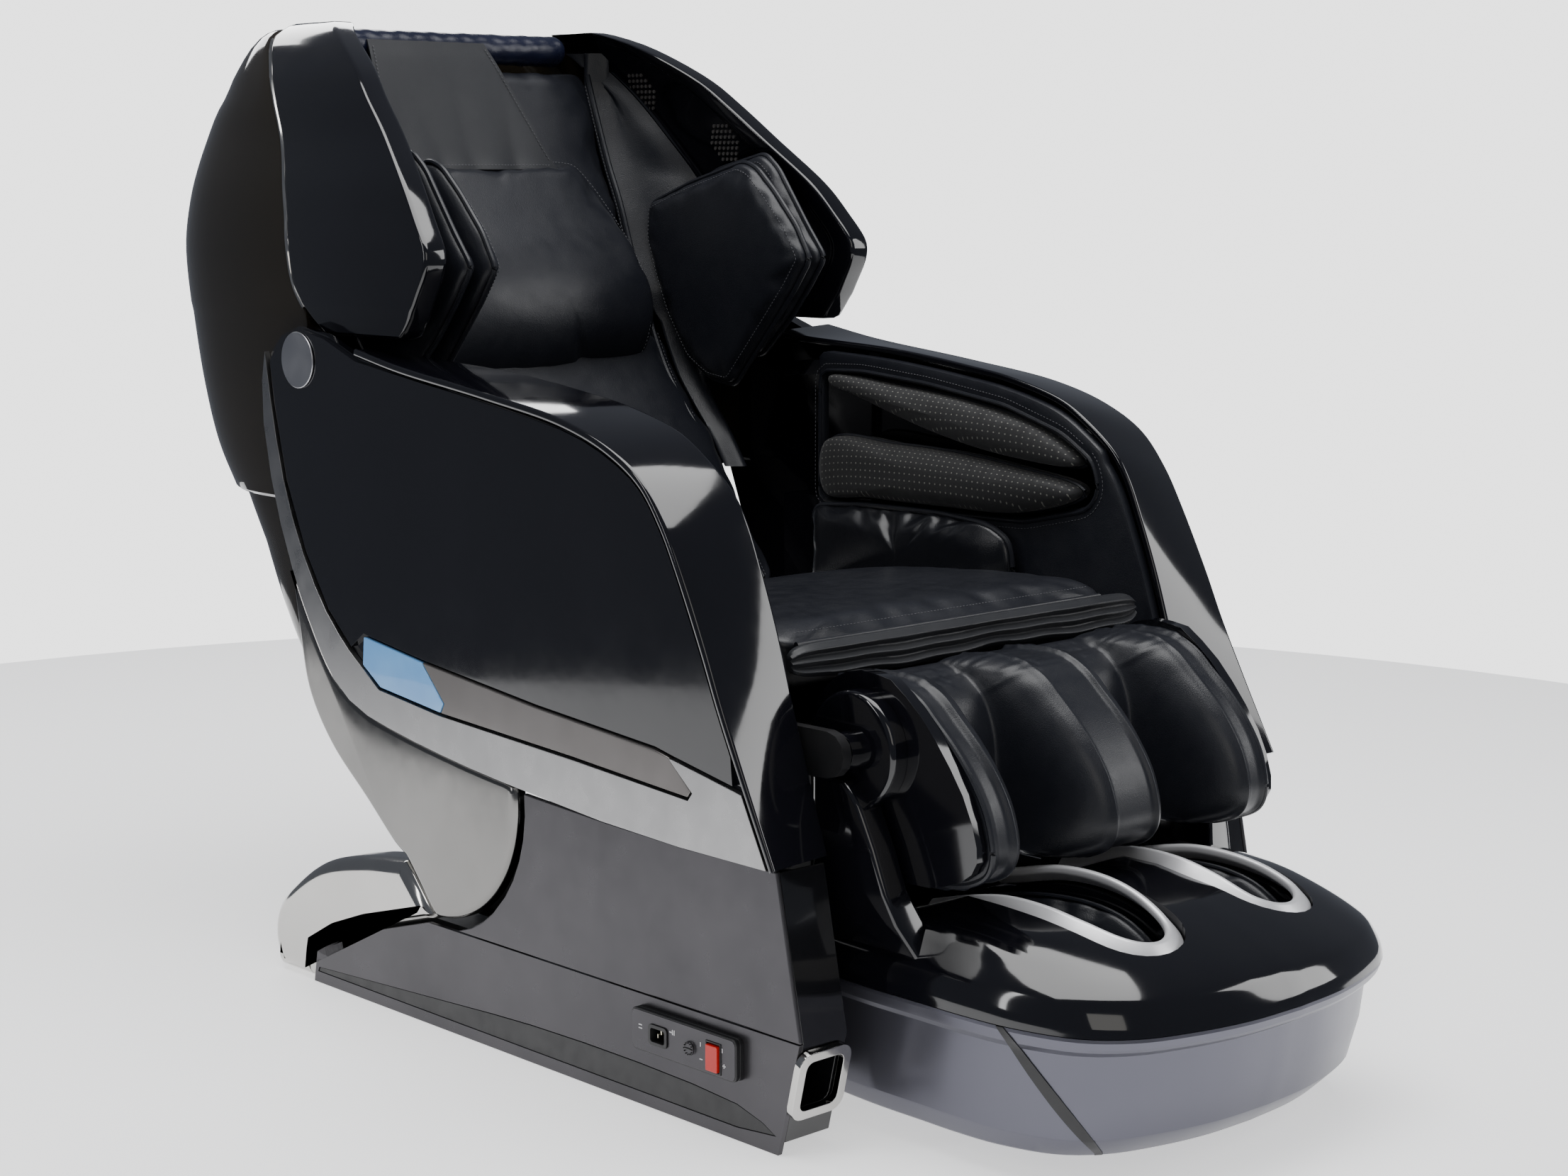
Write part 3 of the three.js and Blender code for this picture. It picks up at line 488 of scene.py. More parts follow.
def stitch_data(path, pitch=0.0055, length=0.0036, radius=0.00055):
    """A row of short thread stitches along a path of frame points."""
    path = np.array([tuple(p) for p in path], float)
    walked = float(np.sum(np.linalg.norm(np.diff(path, axis=0), axis=1)))
    count = max(int(walked / pitch), 2)
    spots = resample(path, count * 2)
    parts = []
    for i in range(count - 1):
        a, b = Vector(spots[2 * i]), Vector(spots[2 * i + 1])
        middle, along = (a + b) / 2, (b - a).normalized()
        ends = [middle - along * length / 2, middle - along * length / 4, middle + along * length / 4,
                middle + along * length / 2]
        side = along.cross(Vector((0.31, 0.52, 0.79))).normalized()
        over = side.cross(along)
        rings = [round_ring(end, side, over, radius * r, 5) for end, r in zip(ends, (0.35, 1, 1, 0.35))]
        parts.append(loft_data(rings))
    return join_data(*parts)


def bevel(obj, width):
    modifier = obj.modifiers.new("edges", "BEVEL")
    modifier.width = width
    modifier.segments = 3
    modifier.limit_method = "ANGLE"
    modifier.angle_limit = math.radians(30)
    modifier.harden_normals = False


def subdivide(obj):
    modifier = obj.modifiers.new("smooth", "SUBSURF")
    modifier.levels = 1
    modifier.render_levels = 1


def dress_node(node, material, width):
    """A CAD node keeps its shape and gets a material, softened edges and clean shading."""
    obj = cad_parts[node]
    obj.data.materials.clear()
    obj.data.materials.append(material)
    bpy.context.view_layer.objects.active = obj
    if obj.data.has_custom_normals:
        bpy.ops.mesh.customdata_custom_splitnormals_clear()
    obj.data.shade_smooth()
    weld = obj.modifiers.new("weld", "WELD")
    weld.merge_threshold = 1e-5
    bevel(obj, width)
    obj.modifiers.new("normals", "WEIGHTED_NORMAL").keep_sharp = True


make_camera()
make_studio()

# ---------- CAD nodes that keep their shape ----------
for node, material, width in (
    ("base_frame", "steel", 0.003), ("seat_frame", "steel", 0.003), ("back_frame", "steel", 0.003),
    ("power_plate", "base_grey", 0.0008), ("power_inlet", "matte_black", 0.0008),
    ("power_rocker", "red", 0.001),
):
    dress_node(node, M[material], width)
dress_node("calf_shell", M["gloss_black"], 0.006)
for side in ("left", "right"):
    for node, material, width in (
        ("base_cover", "base_grey", 0.0022), ("base_skirt", "base_grey", 0.0022),
        ("skirt_wedge", "matte_black", 0.0006), ("front_housing", "housing_black", 0.005),
        ("bezel", "polished", 0.002), ("pod", "gloss_black", 0.003), ("pod_trim", "trim_silver", 0.002),
        ("trim_insert", "trim_grey", 0.0012), ("trim_lens", "lens", 0.0012),
        ("pod_cap", "satin_silver", 0.001),
    ):
        dress_node(f"{node}_{side}", M[material], width)


# ---------- moulded shells ----------
def wrap_data(rings):
    """A ring-shaped skin: every ring is closed and the last ring joins the first."""
    return loft_data([*rings, rings[0]], caps=False)


HALF_WIDTH = profile([(870, 381), (962, 379), (1000, 373), (1038, 364), (1102, 339), (1150, 323), (1187, 306),
                      (1236, 270), (1258, 232)])
WING_FRONT = profile([(852, 168), (880, 146), (905, 131), (931, 116), (948, 111), (962, 113), (1000, 142),
                      (1038, 175), (1102, 249), (1150, 308), (1187, 356), (1236, 450), (1256, 505)])
WING_REAR = profile([(852, 330), (880, 372), (914, 400), (962, 414), (1004, 425), (1067, 456), (1150, 520),
                     (1195, 560), (1236, 599), (1256, 604)])
SHELL_BACK = profile([(632, 690), (692, 734), (772, 766), (862, 788), (935, 801), (985, 803), (1045, 798),
                      (1090, 792), (1133, 778), (1165, 756), (1193, 724), (1216, 694), (1236, 664),
                      (1250, 640)])
BACK_FRONT = profile([(632, 400), (700, 428), (786, 455), (862, 484), (935, 512), (1045, 560), (1133, 597),
                      (1193, 616), (1248, 632)])


def width_at(z):
    """Half the width over the back shell and its wings at height z."""
    return HALF_WIDTH(max(z, 870)) if z > 880 else 379


def rear_corner(half, rear, radius, power, count):
    """The rounded corner from the side at x = half to the rear."""
    return [(half - radius + radius * math.cos(a) ** power, rear - radius + radius * math.sin(a) ** power)
            for a in np.linspace(0.0, math.pi / 2, count)]


def dome_ring(z, shrink=0.0):
    """The back shell's outline at height z: round behind, with its sides running forward to the wings."""
    half = width_at(z) - shrink
    rear = SHELL_BACK(z) - shrink
    front = min(WING_REAR(max(z, 880)) + 2, rear - 30)
    middle = min(BACK_FRONT(z), rear - 22)
    radius = min(0.62 * half, (rear - front) * 0.86)
    inner = min(half - 42, 290)
    edge = 7
    left = [(inner, front), (half - edge, front), (half - 2, front + 2), (half, front + edge)]
    left += rear_corner(half, rear, radius, 0.82, 15)
    right = [(-x, y) for x, y in reversed(left)]
    return [at(x, y, z) for x, y in [*left, *right, (15 - inner, middle), (inner - 15, middle)]]


def build_back_shell():
    levels = [632, 636, *np.linspace(650, 1236, 44), 1243]
    rings = [dome_ring(632, 4), *[dome_ring(z) for z in levels[1:]], dome_ring(1247, 3), dome_ring(1248, 9)]
    make("dome", *loft_data(rings), "backrest", "shell_black", M["shell_black"], 40, replaces=["back_shell"])
    build_tail()
    seam = [at(width_at(z) - 3, WING_REAR(z) + 1.2, z) for z in np.linspace(884, 1232, 50)]
    both_sides("shell_seam", tube_data(seam, 0.0035, 8), "backrest", "satin_silver", M["polished"])


def build_tail():
    """The lower end of the shell, which tucks forward under the dome."""
    rear_at = profile([(391, 423), (432, 490), (486, 552), (548, 606), (596, 640), (631.6, 662)])
    rings = []
    for z in (392, 394, *np.linspace(400, 626, 30), 631.6):
        lowest = z < 393
        rear = rear_at(z) + 8 - (5 if lowest else 0)
        front = np.interp(z, (392, 402, 560, 632), (416, 410, 440, 486)) + (3 if lowest else 0)
        radius = max(min(150, (rear - front) * 0.8), 4)
        half = 346 - (4 if lowest else 0)
        left = [(half - 3, front), (half, front + 3), *rear_corner(half, rear, radius, 0.85, 13)]
        rings.append([at(x, y, z) for x, y in [*left, *[(-x, y) for x, y in reversed(left)]]])
    make("lower_tail", *loft_data(rings), "backrest", "shell_black", M["shell_black"], 40,
         replaces=["lower_shell"])


def wing_ring(z, shrink=0.0):
    """The side wing's section at height z: a wall with a lip turned in at its front and rear edges."""
    half = width_at(z) - shrink
    front, rear = WING_FRONT(z) + shrink, WING_REAR(z) - shrink
    depth = rear - front
    lip = min(38, depth * 0.3)
    wall = half - 26
    edge = half - 34 + 2 * shrink
    section = [(half, front), (half, rear), (edge, rear), (edge, rear - lip * 0.7), (wall, rear - lip),
               (wall, front + lip + 8), (edge, front + lip), (edge, front)]
    return [at(x, y, z) for x, y in round_corners(section, 6.5, 4)]


SPEAKERS = ((488, 1172), (338, 1098))  # middles of the dot groups


def build_wings():
    levels = [852, 856, *np.linspace(864, 1246, 50), 1252]
    rings = [wing_ring(852, 4), *[wing_ring(z) for z in levels[1:]], wing_ring(1255, 3)]
    both_sides("wing_shell", loft_data(rings), "backrest", "gloss_black", M["gloss_black"], sharp=38,
               replaces=["wing"])
    dots = []
    for center_y, center_z in SPEAKERS:
        for row in range(-3, 4):
            for column in range(-3, 4):
                if abs(row + column) > 3:
                    continue
                y = center_y + (column + row / 2) * 9
                z = center_z + row * 7.8
                x = width_at(z) - 26.6
                ring = [(y + 2.6 * math.cos(a), z + 2.6 * math.sin(a)) for a in circle(10)]
                dots.append(slab_data(ring, x - 1.2, x + 1.5, 0.5, 1))
    both_sides("speaker_dots", join_data(*dots), "backrest", "trim_grey", M["trim_grey"])


BAND_OUTER = [(228, 839), (137, 822), (-36, 799), (-182, 776), (-263, 750), (-319, 717), (-355, 673),
              (-381, 627), (-421, 545), (-447, 486), (-480, 419), (-529, 323)]
BAND_INNER = [(245, 832), (190, 828), (25, 820), (-59, 812), (-130, 803), (-198, 793), (-292, 768),
              (-338, 742), (-383, 707), (-405, 676), (-427, 627), (-453, 560), (-483, 466), (-532, 322)]
BAND_INNER_X, BAND_OUTER_X = 325, 404
POD_FLARE = 0.033
POD_REAR = 443


def flared(x, y, z):
    """A point on a pod's outer face, moved out and forward as the pods widen towards the front."""
    out = POD_FLARE * (POD_REAR - y)
    return Vector((x + out, y - 1.06 * out, z + 0.2 * out))


def build_arm_bands():
    """The gloss strip over each arm, sloping from its inner to its outer edge."""
    count = 110
    outer, inner = spline(BAND_OUTER, count), spline(BAND_INNER, count)
    rings = []
    for i in range(count):
        a, b = max(i - 1, 0), min(i + 1, count - 1)
        under = []
        for curve in (outer, inner):
            step = (curve[b] - curve[a]) / np.linalg.norm(curve[b] - curve[a])
            under.append(curve[i] + np.array([-step[1], step[0]]) * 9)
        corners = [flared(BAND_OUTER_X, *outer[i]), Vector((BAND_INNER_X, *inner[i])),
                   Vector((BAND_INNER_X, *under[1])), flared(BAND_OUTER_X, *under[0])]
        ring = []
        for k, corner in enumerate(corners):
            before, after = corners[k - 1], corners[(k + 1) % 4]
            start = corner + (before - corner).normalized() * 4.2
            end = corner + (after - corner).normalized() * 4.2
            for t in np.linspace(0, 1, 5):
                ring.append(start * (1 - t) ** 2 + corner * (2 * t * (1 - t)) + end * t * t)
        rings.append([at(*p) for p in ring])
    both_sides("arm_band_shell", loft_data(rings), "carriage", "gloss_black", M["gloss_black"], sharp=50,
               replaces=["arm_band"])


TRIM_EDGE = [(433, 827), (443, 758), (422, 650), (387, 561), (345, 485), (292, 416), (234, 384), (160, 368),
             (73, 355), (-19, 344), (-114, 336)]


def build_fins_and_caps():
    """The fins under the pods and the bulbous caps at the rear of the base."""
    rear = spline([(390, 548), (377, 470), (358, 392), (311, 328), (233, 267), (171, 218), (148, 207)], 30)
    front = arc((90, 310), 168, 270, 172, 24)
    edge = np.array([p for p in spline(TRIM_EDGE, 120) if -66 < p[0] < 391])
    top = [(y + 1.0, z - 1.4) for y, z in edge[::-1][::3]]
    outline = resample([*rear, *front, *top], 150, True)
    # The fins are polished silver painted darker, a painted dark reflection.
    both_sides("fin_shell", slab_data(outline, 385, 402, 9, 6), "carriage", "polished_silver",
               M["fin_silver_painted_dark"], sharp=42, replaces=["pod_fin"])
    cap = [*spline([(160, 200), (249, 188), (344, 163), (410, 124), (452, 86), (463, 45), (450, 1)], 40),
           (366, 1), (359, 42), (310, 69), (240, 95), (107, 133), (97, 146)]
    both_sides("rear_cap_shell", slab_data(resample(cap, 130, True), 353, 400, 20, 8), "base",
               "polished_silver", M["polished"], sharp=42, replaces=["rear_cap"])


# ---------- foot rest shells ----------
FOOT_HALF_WIDTH = 291
FOOT_REAR = -478
FOOT_LENGTH = 450
RIM = spline([(286, -478), (291, -560), (291, -640), (291, -700), (285, -767), (260, -840), (217, -881),
              (152, -907), (80, -923), (0, -928)], 44)
SIDE_INSET = profile([(172, 0), (184, 1), (198, 5), (208, 10), (218, 18), (227, 26), (240, 38), (252, 54),
                      (262, 92), (270, 130), (277, 175)])
FRONT_INSET = profile([(172, 0), (184, 3), (198, 11), (208, 19), (218, 34), (227, 52), (240, 84), (252, 118),
                       (262, 150), (270, 195), (277, 240)])

# the skirt's levels: height, side inset and front inset
SKIRT = ((28, 29, 66), (30, 27, 63), (50, 15.5, 43), (53, 14.5, 41), (100, 11, 27), (146, 10, 20.5),
         (149, 9.5, 19.5), (156, 4, 8), (160, 2.5, 5), (168, 1, 2), (171.6, 1.6, 2.6))


def drawn_in(x, y, side, front):
    """A point of the rim outline, drawn in at the sides and at the front."""
    return (x * (FOOT_HALF_WIDTH - side) / FOOT_HALF_WIDTH,
            FOOT_REAR + (y - FOOT_REAR) * (FOOT_LENGTH - front) / FOOT_LENGTH)


def foot_ring_at(z, side, front):
    half = [drawn_in(x, y, side, front) for x, y in RIM]
    loop = [*half, *[(-x, y) for x, y in half[-2::-1]]]
    return [at(x, y, z) for x, y in loop]


def well_cutter(low, high):
    """The two foot wells, 4 mm wider than their rings, from height low to height high."""
    outline = inset([(67, -520), *arc((115, -772), 48, 180, 360, 24), (163, -520)], -4)
    rings = [[at(x, y, z) for x, y in outline] for z in (low, high)]
    return mirrored_cutter("well_cutter", loft_data(rings))


def cutter_of(name, data):
    """A bare object for cut_away to use up."""
    mesh = bpy.data.meshes.new(name)
    mesh.from_pydata([tuple(v) for v in data[0]], [], data[1])
    cutter = bpy.data.objects.new(name, mesh)
    bpy.context.scene.collection.objects.link(cutter)
    face_out(cutter)
    return cutter


def mirrored_cutter(name, data):
    return cutter_of(name, join_data(data, mirrored(data)))


def cut_away(obj, cutter):
    """Cuts the cutter out of obj for good and removes the cutter."""
    modifier = obj.modifiers.new("cut", "BOOLEAN")
    modifier.operation = "DIFFERENCE"
    modifier.solver = "EXACT"
    modifier.object = cutter
    settle(obj)
    bpy.data.objects.remove(cutter)


def settle(obj):
    """Applies every modifier of obj to its mesh."""
    graph = bpy.context.evaluated_depsgraph_get()
    mesh = bpy.data.meshes.new_from_object(obj.evaluated_get(graph))
    obj.modifiers.clear()
    obj.data = mesh


RING_PATH = [(169, -540, 240), (169, -600, 256), (169, -650, 265), (169, -707, 265), (167, -757, 258),
             (156, -801, 247), (138, -819, 241), (115, -825, 239), (92, -819, 242), (74, -801, 250),
             (64, -757, 268), (61, -707, 279), (61, -640, 279), (61, -565, 262), (61, -540, 257)]
BAND = [(-6.5, -3), (-6.5, 4), (-3, 6.5), (1, 5.5), (14.5, -9), (14.5, -14), (8, -14)]


def strip_data(path, outline, radius=2.0):
    """A band laid along a path of frame points. Its section is (outwards, up) in millimetres."""
    rings = []
    for i, p in enumerate(path):
        along = (path[min(i + 1, len(path) - 1)] - path[max(i - 1, 0)]).normalized()
        side = Vector((-along.y, along.x, 0)).normalized()
        section = round_corners(outline, radius, 3)
        rings.append([p + side * (u / 1000) + Vector((0, 0, v / 1000)) for u, v in section])
    return loft_data(rings)


def build_foot_rest():
    rings = [foot_ring_at(172.4, 2.5, 2.5)]
    rings += [foot_ring_at(z + 0.8, SIDE_INSET(z), FRONT_INSET(z)) for z in np.linspace(172.4, 276, 34)]
    stems = []
    for z0, x0, x1, front in ((176, 238, 258, -640), (215, 240, 278, -622), (250, 250, 293, -606),
                              (284, 263, 300, -594), (330, 263, 300, -575), (375, 263, 300, -552),
                              (397, 263, 300, -532), (400, 266, 297, -528)):
        section = round_corners([(x0, -480), (x1, -480), (x1, front), (x0, front)], 7, 4)
        stems.append([at(x, y, z0) for x, y in section])
    stem = loft_data(stems)
    shell = make("foot_dome", *loft_data(rings), "footrest", "gloss_black", M["gloss_black"], 0,
                 replaces=["foot_shell"])
    wedge = loft_data([[at(x, y, z) for y, z in ((-652, 281), (-470, 216), (-470, 320), (-652, 320))]
                       for x in (-310, 310)])
    cut_away(shell, cutter_of("wedge_cutter", wedge))
    cut_away(shell, well_cutter(160, 330))
    groove = [(-9, -16), (-9, 60), (16, 60), (16, -16)]
    seat = strip_data([at(*p) for p in spline(RING_PATH, 60)], groove, 0.5)
    cut_away(shell, mirrored_cutter("seat_cutter", seat))
    shell.data.shade_smooth()
    shell.data.set_sharp_from_angle(angle=math.radians(32))
    both_sides("foot_stem", stem, "footrest", "gloss_black", M["gloss_black"])
    skirt = make("foot_skirt_shell", *loft_data([foot_ring_at(*level) for level in SKIRT]), "footrest",
                 "base_grey", M["foot_grey"], 0, replaces=["foot_skirt"])
    cut_away(skirt, well_cutter(76, 330))
    skirt.data.shade_smooth()
    skirt.data.set_sharp_from_angle(angle=math.radians(14))
    ring = strip_data([at(*p) for p in spline(RING_PATH, 110)], BAND)
    both_sides("foot_ring_band", ring, "footrest", "satin_silver", M["foot_ring"], sharp=45,
               replaces=["foot_ring"])
    build_skirt_strip()


def on_skirt(z, k, lift):
    """The point at height z on the skirt where the rim outline has index k."""
    heights, sides, fronts = zip(*SKIRT)
    side, front = np.interp(z, heights, sides) - lift, np.interp(z, heights, fronts) - lift
    x, y = np.array([np.interp(k, range(len(RIM)), RIM[:, c]) for c in (0, 1)])
    return at(*drawn_in(x, y, side, front), z)


def build_skirt_strip():
    """The dark slanted joint strip on each side of the foot skirt."""
    rings = []
    for z in sorted([level[0] for level in SKIRT] + [40, 60, 70, 80, 90, 110, 120, 130, 140]):
        k = np.interp(z, (30, 172), (27.5, 18.0))
        wide = 0.3 + 0.32 * math.sin(math.pi * (z - 28) / 144)
        corners = ((-wide, 1.2), (wide, 1.2), (wide, -3), (-wide, -3))
        rings.append([on_skirt(z, k + shift, lift) for shift, lift in corners])
    both_sides("skirt_strip", loft_data(rings), "footrest", "wedge_black", M["matte_black"])


def build_hinge_covers():
    """Round covers over the calf rest's hinges."""
    drum = arc((-520, 430), 66, 0, 360, 72)[:-1]
    both_sides("hinge_cover", slab_data(drum, 258.4, 280, 6, 6, crown=3), "legrest", "gloss_black",
               M["gloss_black"])


build_back_shell()
build_wings()
build_arm_bands()
build_fins_and_caps()
build_foot_rest()
build_hinge_covers()


# ---------- padded pieces ----------
PUFFED = []  # (a pad with its mirror image if it has one, pinned vertices, cap, pressure, shrink)
CLOTH_FRAMES = 20


class Track:
    """A (y, z) path with places along it and heights above it, on the sitter's side."""

    def __init__(self, points):
        self.curve = spline(points, 200)
        steps = np.linalg.norm(np.diff(self.curve, axis=0), axis=1)
        self.walked = np.concatenate([[0], np.cumsum(steps)])
        self.length = float(self.walked[-1])
        self.slope = np.gradient(self.curve, self.walked, axis=0)

    def place(self, x, s, w):
        s = min(max(s, 0.0), self.length)
        y, z, ty, tz = (np.interp(s, self.walked, column) for column in (*self.curve.T, *self.slope.T))
        size = math.hypot(ty, tz)
        return at(x, y - tz / size * w, z + ty / size * w)


def cushion_data(outline, place, front, back, fullness, steps, back_steps, count):
    """A pad over a closed 2D outline, with its seam at height 0. Gives its mesh and its pinned vertices."""
    outline = resample(np.vstack([outline, outline[:1]]), count, True)
    center = outline.mean(axis=0)
    rings = []
    for height, number in ((back, back_steps), (front, steps)):
        side = []
        for a in np.linspace(0.1, math.pi / 2, number, endpoint=height == front):
            s, w = math.sin(a), height * max(math.cos(a), 0) ** fullness
            side.append([place(*(center + (p - center) * s), w) for p in outline])
        rings.extend(side if height == back else side[::-1])
    return pad_mesh(rings), range((back_steps + 1) * count)


def pad_mesh(rings):
    """A skin over rings, each end closed by a strip of quads that joins opposite points."""
    vertices, faces = loft_data(rings, caps=False)
    count = len(rings[0])
    for start in (0, (len(rings) - 1) * count):
        faces += [(start + i, start + i + 1, start + count - 2 - i, start + count - 1 - i)
                  for i in range(count // 2 - 1)]
    return vertices, faces


def add_cloth(obj, pins, pressure, shrink):
    obj.vertex_groups.new(name="seam").add(pins, 1.0, "REPLACE")
    modifier = obj.modifiers.new("cloth", "CLOTH")
    cloth = modifier.settings
    cloth.quality = 5
    cloth.mass = 0.25
    cloth.tension_stiffness = 14
    cloth.compression_stiffness = 14
    cloth.shear_stiffness = 5
    cloth.bending_stiffness = 0.35
    cloth.air_damping = 3
    cloth.effector_weights.gravity = 0
    cloth.use_pressure = True
    cloth.uniform_pressure_force = pressure
    cloth.shrink_min = shrink
    cloth.vertex_group_mass = "seam"
    modifier.collision_settings.use_collision = False
    modifier.point_cache.frame_start = 1
    modifier.point_cache.frame_end = CLOTH_FRAMES


def apply_cloth(obj, cap):
    """Puts the result of the cloth into the mesh. No point moves further than cap millimetres."""
    graph = bpy.context.evaluated_depsgraph_get()
    moved = [v.co.copy() for v in obj.evaluated_get(graph).data.vertices]
    obj.modifiers.clear()
    obj.vertex_groups.clear()
    for vertex, end in zip(obj.data.vertices, moved):
        shift = end - vertex.co
        if shift.length > cap / 1000:
            shift *= cap / 1000 / shift.length
        vertex.co += shift


def settle_puffed():
    """Blows the listed pads up together and rounds them off."""
    for pads, pins, cap, pressure, shrink in PUFFED:
        add_cloth(pads[0], pins, pressure, shrink)
    for number in range(1, CLOTH_FRAMES + 1):
        bpy.context.scene.frame_set(number)
    for pads, pins, cap, pressure, shrink in PUFFED:
        apply_cloth(pads[0], cap)
        for other in pads[1:]:
            for vertex, twin in zip(pads[0].data.vertices, other.data.vertices):
                twin.co = Vector((-vertex.co.x, vertex.co.y, vertex.co.z))
    bpy.context.scene.frame_set(1)
    for pads, *_ in PUFFED:
        for pad in pads:
            subdivide(pad)


def list_pads(pads, pins, fill, cap, pressure, shrink):
    """Lists a pad, with its mirror image if it has one, to be blown up against its pinned seams."""
    PUFFED.append((pads, list(pins), cap, pressure, shrink))


def single_pad(name, cushion, body, slot, material, replaces, *filling):
    """A pad in the middle of the chair. filling is its fill (not used), cap, pressure and shrink."""
    data, pins = cushion
    pad = make(name, *data, body, slot, material, sharp=0, replaces=replaces)
    list_pads([pad], pins, *filling)


def pad_pair(name, cushion, body, slot, material, replaces, *filling):
    """A pad on both sides of the chair. filling is its fill (not used), cap, pressure and shrink."""
    data, pins = cushion
    pair = both_sides(name, data, body, slot, material, sharp=0, replaces=replaces)
    list_pads(pair, pins, *filling)


def piping(name, path, radius, body, sides=8, closed=False):
    """Leather piping along a seam, on both sides of the chair."""
    both_sides(name, tube_data(path, radius, sides, closed), body, "leather", M["leather"])


def stitching(name, path, body, *sizes):
    """Sewn thread along a seam, on both sides of the chair."""
    both_sides(name, stitch_data(path, *sizes), body, "leather", M["thread"], sharp=0)


def single_stitching(name, path, body, *sizes):
    make(name, *stitch_data(path, *sizes), body, "leather", M["thread"], 0)


def symmetric(half):
    """A closed outline from the points of its +X half, listed from bottom to top."""
    return np.array([*half, *[(-x, s) for x, s in half[::-1] if x > 0.5]], float)


def side_place(middle):
    """Places pads whose outline is (y, z) and whose height points at the sitter from x = middle."""
    return lambda y, z, w: at(middle - w, y, z)


SEAT = Track([(-420, 536), (-400, 543), (-300, 544), (-228, 541), (-60, 527), (61, 506), (138, 484)])
BACK = Track([(172, 486), (225, 560), (300, 676), (355, 740), (378, 770), (410, 830), (430, 880),
              (455, 940), (480, 1010), (505, 1065), (530, 1130), (548, 1180), (556, 1204)])
PILLOW = Track([(452, 776), (418, 800), (402, 838), (404, 875), (428, 926), (457, 968), (492, 1020),
                (512, 1060)])


def build_seat():
    wide = 281
    outline = round_corners([(-wide, 2), (wide, 2), (wide, SEAT.length), (-wide, SEAT.length)], 28, 6)
    place = lambda x, s, w: SEAT.place(x, s, w - 18)
    single_pad("seat_pad", cushion_data(outline, place, 20, -78, 0.3, 15, 4, 150), "carriage", "leather",
               M["leather"], ["seat_cushion"], 0.7, 8, 3.5, -0.02)
    edge = [SEAT.place(x, 3, -6) for x in np.linspace(-262, 262, 90)]
    make("seat_front_piping", *tube_data(edge, 0.0036, 8), "carriage", "leather", M["leather"])
    line = [SEAT.place(x, 17, 1.2) for x in np.linspace(-255, 255, 120)]
    single_stitching("seat_front_stitches", line, "carriage")
    for name, start, end in (("a", (32, -179), (-58, -321)), ("b", (223, -238), (121, -347))):
        line = [at(x, y, 545.2 + 1.5 * math.sin(i)) for i, (x, y) in enumerate(resample([start, end], 30))]
        single_stitching(f"seat_tuck_{name}", line, "carriage", 0.0065, 0.0046, 0.0007)
    rings = []
    section = resample([(-432, 536), (-441, 538), (-451, 530), (-444, 524), (-453, 516), (-446, 510),
                        (-455, 503), (-450, 497), (-438, 498), (-431, 505), (-430, 520),
                        (-432, 536)], 70, True)
    section = spline(section[::2], 84, True)
    for x in np.linspace(-297, 297, 90):
        k = 1 - 0.5 * (abs(x) / 297) ** 26
        droop = 2.2 * math.sin(x * 0.021 + 0.6) + 1.1 * math.sin(x * 0.063)
        rings.append([at(x, -441 + (y + 441) * k, 517 + (z - 517) * k + droop * (538 - z) / 41)
                      for y, z in section])
    flap = make("seat_bellows", *loft_data(rings), "carriage", "leather", M["soft_leather"], 60,
                replaces=["seat_flap"])


def build_back():
    high = BACK.length
    half = [(0, 0), (252, 0), (266, 14), (267, 330), (262, 400), (238, 440), (235, 470), (235, high - 14),
            (224, high - 2), (0, high)]
    place = lambda x, s, w: BACK.place(x, s, w - 12)
    single_pad("back_cover", cushion_data(symmetric(half), place, 13, -30, 0.28, 15, 4, 190), "backrest",
               "leather", M["leather"], ["back_pad"], 0.65, 8, 3.5, -0.025)
    seam = [BACK.place(236, s, 1.5) for s in np.linspace(8, high - 8, 120)]
    piping("back_piping", seam, 0.0042, "backrest")
    for name, x, end in (("inner", 228, high - 20), ("outer", 244, 420)):
        line = [BACK.place(x, s, 1.2) for s in np.linspace(12, end, 150)]
        stitching(f"back_stitches_{name}", line, "backrest")
    half = [(0, 0), (120, 1), (172, 14), (204, 48), (215, 104), (214, 165), (202, 245), (184, 305),
            (160, 338), (120, 345), (0, 347)]
    outline = spline(symmetric(half), 110, True)
    single_pad("pillow_cover", cushion_data(outline, PILLOW.place, 36, -9, 0.3, 16, 4, 120), "backrest",
               "leather", M["leather"], ["back_pillow"], 0.6, 9, 4, -0.02)
    rim = [PILLOW.place(x, s, 0) for x, s in outline]
    make("pillow_piping", *tube_data(rim, 0.0044, 8, closed=True), "backrest", "leather", M["leather"])
    inner = inset(outline, 11)
    line = [PILLOW.place(x, s, 27) for x, s in [*inner, inner[0]]]
    single_stitching("pillow_stitches", line, "backrest")


INNER_LEAF = [(248, 1071), (222, 1062), (186, 1030), (142, 983), (115, 938), (145, 897), (180, 856),
              (225, 805), (268, 757), (318, 764), (362, 790), (404, 850), (430, 905), (450, 962),
              (446, 1012), (360, 1042)]
OUTER_LEAF = [(240, 1082), (212, 1060), (156, 984), (120, 940), (150, 899), (190, 852), (245, 800),
              (330, 800), (400, 880), (412, 960), (400, 1030), (340, 1060)]


